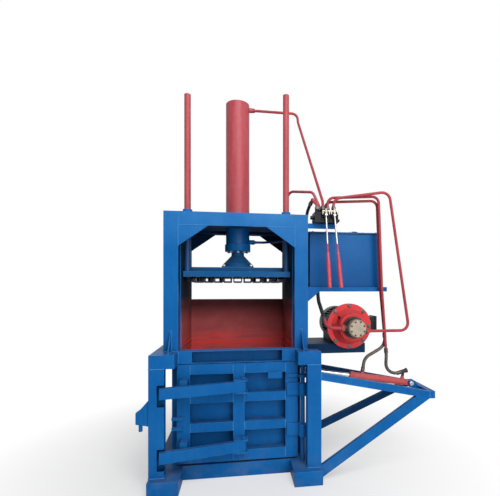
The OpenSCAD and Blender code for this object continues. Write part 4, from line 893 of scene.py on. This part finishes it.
def pump_finish():
    """A bright cover in front of a dark, oily housing."""
    made, field, shader = new_finish("pump_finish")
    place = object_place(field)
    grain = noise(field, place, 90.0, 4.0)
    stain = noise(field, place, 16.0, 5.0).ramped(0.45, 0.8)
    cover = (stain * 0.7).blend(COVER_BRIGHT, COVER_STAINED)
    housing = stain.blend(HOUSING_DARK, HOUSING_STAINED)
    front = split(field, place)[1] < pump_low.y + COVER_T
    feed(field, shader, Base_Color=front.blend(housing, cover), Metallic=0.5)
    feed(field, shader, Roughness=grain * 0.2 + 0.36, Normal=bump(field, grain, 0.15, GRAIN_DEPTH))
    return made


dress(pump_finish(), FINE_EDGE, "pump")
TURNED, TURNED_DARK = (0.5, 0.5, 0.5, 1), (0.3, 0.29, 0.28, 1)
turned_steel = bare_metal("turned_steel", TURNED, TURNED_DARK, 0.3, 1.0)
dress(turned_steel, ROD_EDGE, "motor_shaft", "shaft_coupling")
SOCKET_SCREW = [(0.0066, 0), (0.0066, 0.0085), (0.006, 0.0095), (0.0034, 0.0095), (0.0034, 0.004)]
COVER_SCREW_R, COVER_SCREW_N = 0.058, 8
SCREW_SEAT = 0.0145
pump_screws = bmesh.new()
for k in range(COVER_SCREW_N):
    angle = 2 * math.pi * (k + 0.5) / COVER_SCREW_N
    screw_x = motor_x + COVER_SCREW_R * math.cos(angle)
    screw_z = motor_z - COVER_SCREW_R * math.sin(angle)
    lathe(pump_screws, SOCKET_SCREW, (screw_x, pump_low.y + SCREW_SEAT, screw_z), FORWARD, 18)
make_piece("pump_screws", pump_screws, "frame", dark_steel)

BOX_SCREW = [(0.0055, -0.001), (0.0055, 0.002), (0.004, 0.0035)]
BOX_SCREW_IN = 0.012
box_low, box_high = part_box("terminal_box")
box_screws = bmesh.new()
for y in (box_low.y + BOX_SCREW_IN, box_high.y - BOX_SCREW_IN):
    for z in (box_low.z + BOX_SCREW_IN, box_high.z - BOX_SCREW_IN):
        lathe(box_screws, BOX_SCREW, (box_high.x, y, z), RIGHT, 16)
make_piece("box_screws", box_screws, "frame", zinc)


# The steel pipes.
# Bent tube in the cylinder's red, screwed with union nuts into the valve, the cylinder and the
# pump. The lower press pipe turns a dark, shaded blue where it passes the deck: blue paint with painted
# shade.
TUBE_EDGE = 0.0005
dress(red_enamel, TUBE_EDGE, "press_top_pipe", "door_pipes", "pump_pipe")
dress(two_tone("low_pipe_paint", deck_low, SHADED), TUBE_EDGE, "press_low_pipe")
UNION = [(0.023, -0.001), (0.0235, 0.002), (0.0235, 0.02), (0.021, 0.023), (0.016, 0.024), (0.015, 0.036)]
SUCTION_UNION = [(0.03, -0.001), (0.0305, 0.002), (0.0305, 0.024), (0.027, 0.027), (0.019, 0.028),
                 (0.018, 0.042)]
TOP_PORT_DOWN, LOW_PORT_UP = 0.04, 0.028
PUMP_PORT_Y, DELIVERY_DOWN = -0.69, 0.028
port_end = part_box("press_top_pipe")[0].x
top_port = (port_end, 0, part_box("press_barrel")[1].z - TOP_PORT_DOWN)
low_port = (port_end, 0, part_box("cylinder_gland")[1].z + LOW_PORT_UP)
unions = bmesh.new()
lathe(unions, UNION, top_port, RIGHT, 6)
lathe(unions, UNION, (pump_high.x, PUMP_PORT_Y, motor_z - DELIVERY_DOWN), RIGHT, 6)
lathe(unions, SUCTION_UNION, (pump_low.x, PUMP_PORT_Y, motor_z), LEFT, 6)
make_piece("pipe_unions", unions, "frame", red_enamel)
low_union = bmesh.new()
lathe(low_union, UNION, low_port, RIGHT, 6)
make_piece("low_pipe_union", low_union, "frame", blue_enamel)


# The hoses.
# Rubber over wire braid, with a crimped sleeve at both ends. The return and suction hoses are
# black, and the two that feed the door cylinder are older, brown with dust and oil.
def hose_rubber(name, tint, scuffed):
    """Dull rubber, scuffed in patches."""
    made, field, shader = new_finish(name)
    scuff = noise(field, object_place(field), 40.0, 5.0)
    feed(field, shader, Base_Color=scuff.ramped(0.4, 0.8).blend(tint, scuffed))
    feed(field, shader, Roughness=scuff * 0.2 + 0.45, Normal=bump(field, scuff, 0.2, GRAIN_DEPTH))
    return made


SLEEVE_WALL, CRIMP_WALL = 0.004, 0.0022
SLEEVE_LEN = 0.041
CRIMP_N, CRIMP_FROM, CRIMP_PITCH = 3, 0.01, 0.009
BLACK, BLACK_SCUFFED = (0.009, 0.009, 0.011, 1), (0.03, 0.03, 0.034, 1)
BROWN, BROWN_SCUFFED = (0.075, 0.055, 0.048, 1), (0.16, 0.125, 0.105, 1)
black_rubber = hose_rubber("black_rubber", BLACK, BLACK_SCUFFED)
brown_rubber = hose_rubber("brown_rubber", BROWN, BROWN_SCUFFED)


def sleeve(name, end, inward, diameter, material):
    """A crimped steel sleeve over a hose's end."""
    inner = diameter / 2
    outer, crimped = inner + SLEEVE_WALL, inner + CRIMP_WALL
    form = [(inner + 0.001, -0.001), (outer, 0.002), (outer, 0.008)]
    for k in range(CRIMP_N):
        at = CRIMP_FROM + k * CRIMP_PITCH
        form += [(crimped, at), (crimped, at + 0.004), (outer, at + 0.005)]
    form += [(outer, SLEEVE_LEN - 0.003), (inner + 0.0008, SLEEVE_LEN)]
    mesh = bmesh.new()
    lathe(mesh, form, end, Vector(inward) - Vector(end), 24)
    return make_piece(name, mesh, "frame", material)


def hose(name, node, points, diameter, material):
    """A hose along the points of its route, fastened at both ends."""
    line = bpy.data.curves.new(name, "CURVE")
    line.dimensions = "3D"
    line.bevel_depth = diameter / 2
    line.bevel_resolution = 5
    line.resolution_u = 8
    line.use_fill_caps = True
    spline = line.splines.new("BEZIER")
    spline.bezier_points.add(len(points) - 1)
    for knot, point in zip(spline.bezier_points, points):
        knot.co = point
        knot.handle_left_type = "AUTO"
        knot.handle_right_type = "AUTO"
    line.materials.append(material)
    piece = bpy.data.objects.new(name, line)
    bpy.context.scene.collection.objects.link(piece)
    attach(piece, "frame")
    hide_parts(node)
    bpy.context.view_layer.update()
    ends = [sleeve(name + "_sleeve_1", points[0], points[1], diameter, dark_steel),
            sleeve(name + "_sleeve_2", points[-1], points[-2], diameter, dark_steel)]


HOSE_D = 0.03
SUCTION_D = 0.034
hose("return_line", "return_hose", [
    (0.66098, -0.40271, 2.41091), (0.65967, -0.3839, 2.40523), (0.65833, -0.3648, 2.39945),
    (0.657, -0.33, 2.388), (0.656, -0.296, 2.376), (0.655, -0.262, 2.362), (0.656, -0.23, 2.346),
    (0.658, -0.201, 2.327), (0.661, -0.176, 2.304), (0.664, -0.155, 2.278), (0.667, -0.139, 2.25),
    (0.669, -0.128, 2.221), (0.67, -0.122, 2.19), (0.67, -0.121, 2.17), (0.67, -0.121, 2.152),
], HOSE_D, black_rubber)
hose("suction_line", "suction_hose", [
    (0.745, -0.3, 1.643), (0.745, -0.3, 1.626), (0.745, -0.3, 1.61), (0.745, -0.305, 1.574),
    (0.745, -0.319, 1.54), (0.744, -0.341, 1.511), (0.744, -0.367, 1.491), (0.744, -0.395, 1.474),
    (0.743, -0.424, 1.456), (0.743, -0.452, 1.439), (0.742, -0.481, 1.422), (0.742, -0.51, 1.404),
    (0.741, -0.538, 1.387), (0.741, -0.567, 1.37), (0.74, -0.59574, 1.35216),
], SUCTION_D, black_rubber)
hose("cap_line", "cap_hose", [
    (1.34502, -0.47, 1.0797), (1.34639, -0.47, 1.06005), (1.34778, -0.47, 1.0401), (1.35, -0.468, 1.009),
    (1.351, -0.463, 0.978), (1.353, -0.455, 0.947), (1.356, -0.449, 0.926), (1.363, -0.442, 0.906),
    (1.373, -0.435, 0.888), (1.386, -0.428, 0.872), (1.402, -0.422, 0.858), (1.42, -0.417, 0.847),
    (1.439, -0.414, 0.84), (1.46, -0.412, 0.836), (1.481, -0.411, 0.836), (1.5035, -0.41041, 0.83936),
    (1.51867, -0.41041, 0.84342),
], HOSE_D, brown_rubber)
hose("rod_line", "rod_hose", [
    (1.34603, -0.43, 1.2147), (1.34769, -0.43, 1.19708), (1.34937, -0.43, 1.17916), (1.351, -0.43, 1.162),
    (1.35, -0.43, 1.147), (1.347, -0.43, 1.131), (1.341, -0.43, 1.117), (1.334, -0.43, 1.103),
    (1.324, -0.429, 1.09), (1.309, -0.429, 1.076), (1.292, -0.428, 1.064), (1.266, -0.426, 1.049),
    (1.239, -0.424, 1.033), (1.212, -0.421, 1.018), (1.199, -0.419, 1.009), (1.187, -0.417, 0.999),
    (1.177, -0.415, 0.987), (1.168, -0.413, 0.974), (1.161, -0.412, 0.96), (1.157, -0.411, 0.945),
    (1.1543, -0.41041, 0.9324), (1.14929, -0.41041, 0.90079), (1.14308, -0.41041, 0.86158),
], HOSE_D, brown_rubber)


# The room.
# A pale floor that keeps the machine's shadow and fades into a white surround, with two soft lamps
# in front and a weak one behind.
WHITE = (1, 1, 1, 1)
FLOOR_GREY = (0.8, 0.8, 0.8, 1)
FADE_FROM, FADE_FULL = 0.9, 2.4
NEAR_WHITE = 0.45


def shown(field):
    """1 for what the camera sees, straight or in metal and glass, 0 for the light that falls on things."""
    kinds = ("Is Camera Ray", "Is Glossy Ray", "Is Transmission Ray")
    straight, mirrored, through = [field.node("ShaderNodeLightPath", output=kind) for kind in kinds]
    seen = straight + mirrored + through
    return seen.math("MINIMUM", seen, 1.0)


def pale_floor():
    """Matt grey under the machine, and white for the camera further out."""
    made, field, shader = new_finish("pale_floor")
    feed(field, shader, Base_Color=FLOOR_GREY, Roughness=0.9, Specular_IOR_Level=0.0)
    away = field.node("ShaderNodeVectorMath", {"operation": "LENGTH"}, {0: object_place(field)}, "Value")
    faded = away.ramped(FADE_FROM, FADE_FULL) * (1 - NEAR_WHITE) + NEAR_WHITE
    grey = Field(field.tree, shader.outputs["BSDF"])
    white = field.node("ShaderNodeEmission", inputs={"Color": WHITE, "Strength": 1.0})
    pale = field.node("ShaderNodeMixShader", inputs={0: faded * shown(field), 1: grey, 2: white})
    surface = made.node_tree.nodes["Material Output"].inputs["Surface"]
    field.tree.links.new(pale.socket, surface)
    return made


FLOOR_HALF = 30.0
floor_mesh = bpy.data.meshes.new("floor")
floor_edge = (-FLOOR_HALF, FLOOR_HALF)
floor_mesh.from_pydata(level_outline(floor_edge, floor_edge, 0), [], [(0, 1, 2, 3)])
floor = bpy.data.objects.new("floor", floor_mesh)
floor.data.materials.append(pale_floor())
bpy.context.scene.collection.objects.link(floor)


def lamp(name, place, aim, size, power):
    """A square soft lamp turned towards a point."""
    light = bpy.data.lights.new(name, "AREA")
    light.size = size
    light.energy = power
    holder = bpy.data.objects.new(name, light)
    holder.location = place
    holder.rotation_euler = (Vector(aim) - Vector(place)).to_track_quat("-Z", "Y").to_euler()
    bpy.context.scene.collection.objects.link(holder)


MACHINE_MIDDLE = (0.3, 0.0, 1.4)
lamp("sky", (0.8, -5.0, 6.4), MACHINE_MIDDLE, 4.0, 350)
lamp("front", (2.4, -6.8, 2.4), MACHINE_MIDDLE, 4.5, 240)
lamp("back", (0.5, 4.5, 5.5), MACHINE_MIDDLE, 3.0, 70)

AIR_LIGHT = 0.16
world = bpy.data.worlds.new("studio")
bpy.context.scene.world = world
world.use_nodes = True
background = world.node_tree.nodes["Background"]
background.inputs["Color"].default_value = WHITE
strength = shown(Field(world.node_tree)) * (1 - AIR_LIGHT) + AIR_LIGHT
world.node_tree.links.new(strength.socket, background.inputs["Strength"])


# The camera.
# It stands at eye height in front of the machine, level, and is turned a little to the right.
EYE_HEIGHT = 1.615
EYE_AWAY = 3.624
EYE_TURN = math.radians(-8.35)
eye = bpy.data.cameras.new("eye")
eye.lens = 26
eye.sensor_width = 36
eye.shift_x = -0.0815
eye.shift_y = 0.084
camera = bpy.data.objects.new("camera", eye)
camera.location = (0, -EYE_AWAY, EYE_HEIGHT)
camera.rotation_euler = (math.radians(90), 0, EYE_TURN)
bpy.context.scene.collection.objects.link(camera)
bpy.context.scene.camera = camera
bpy.context.scene.view_settings.view_transform = "Standard"
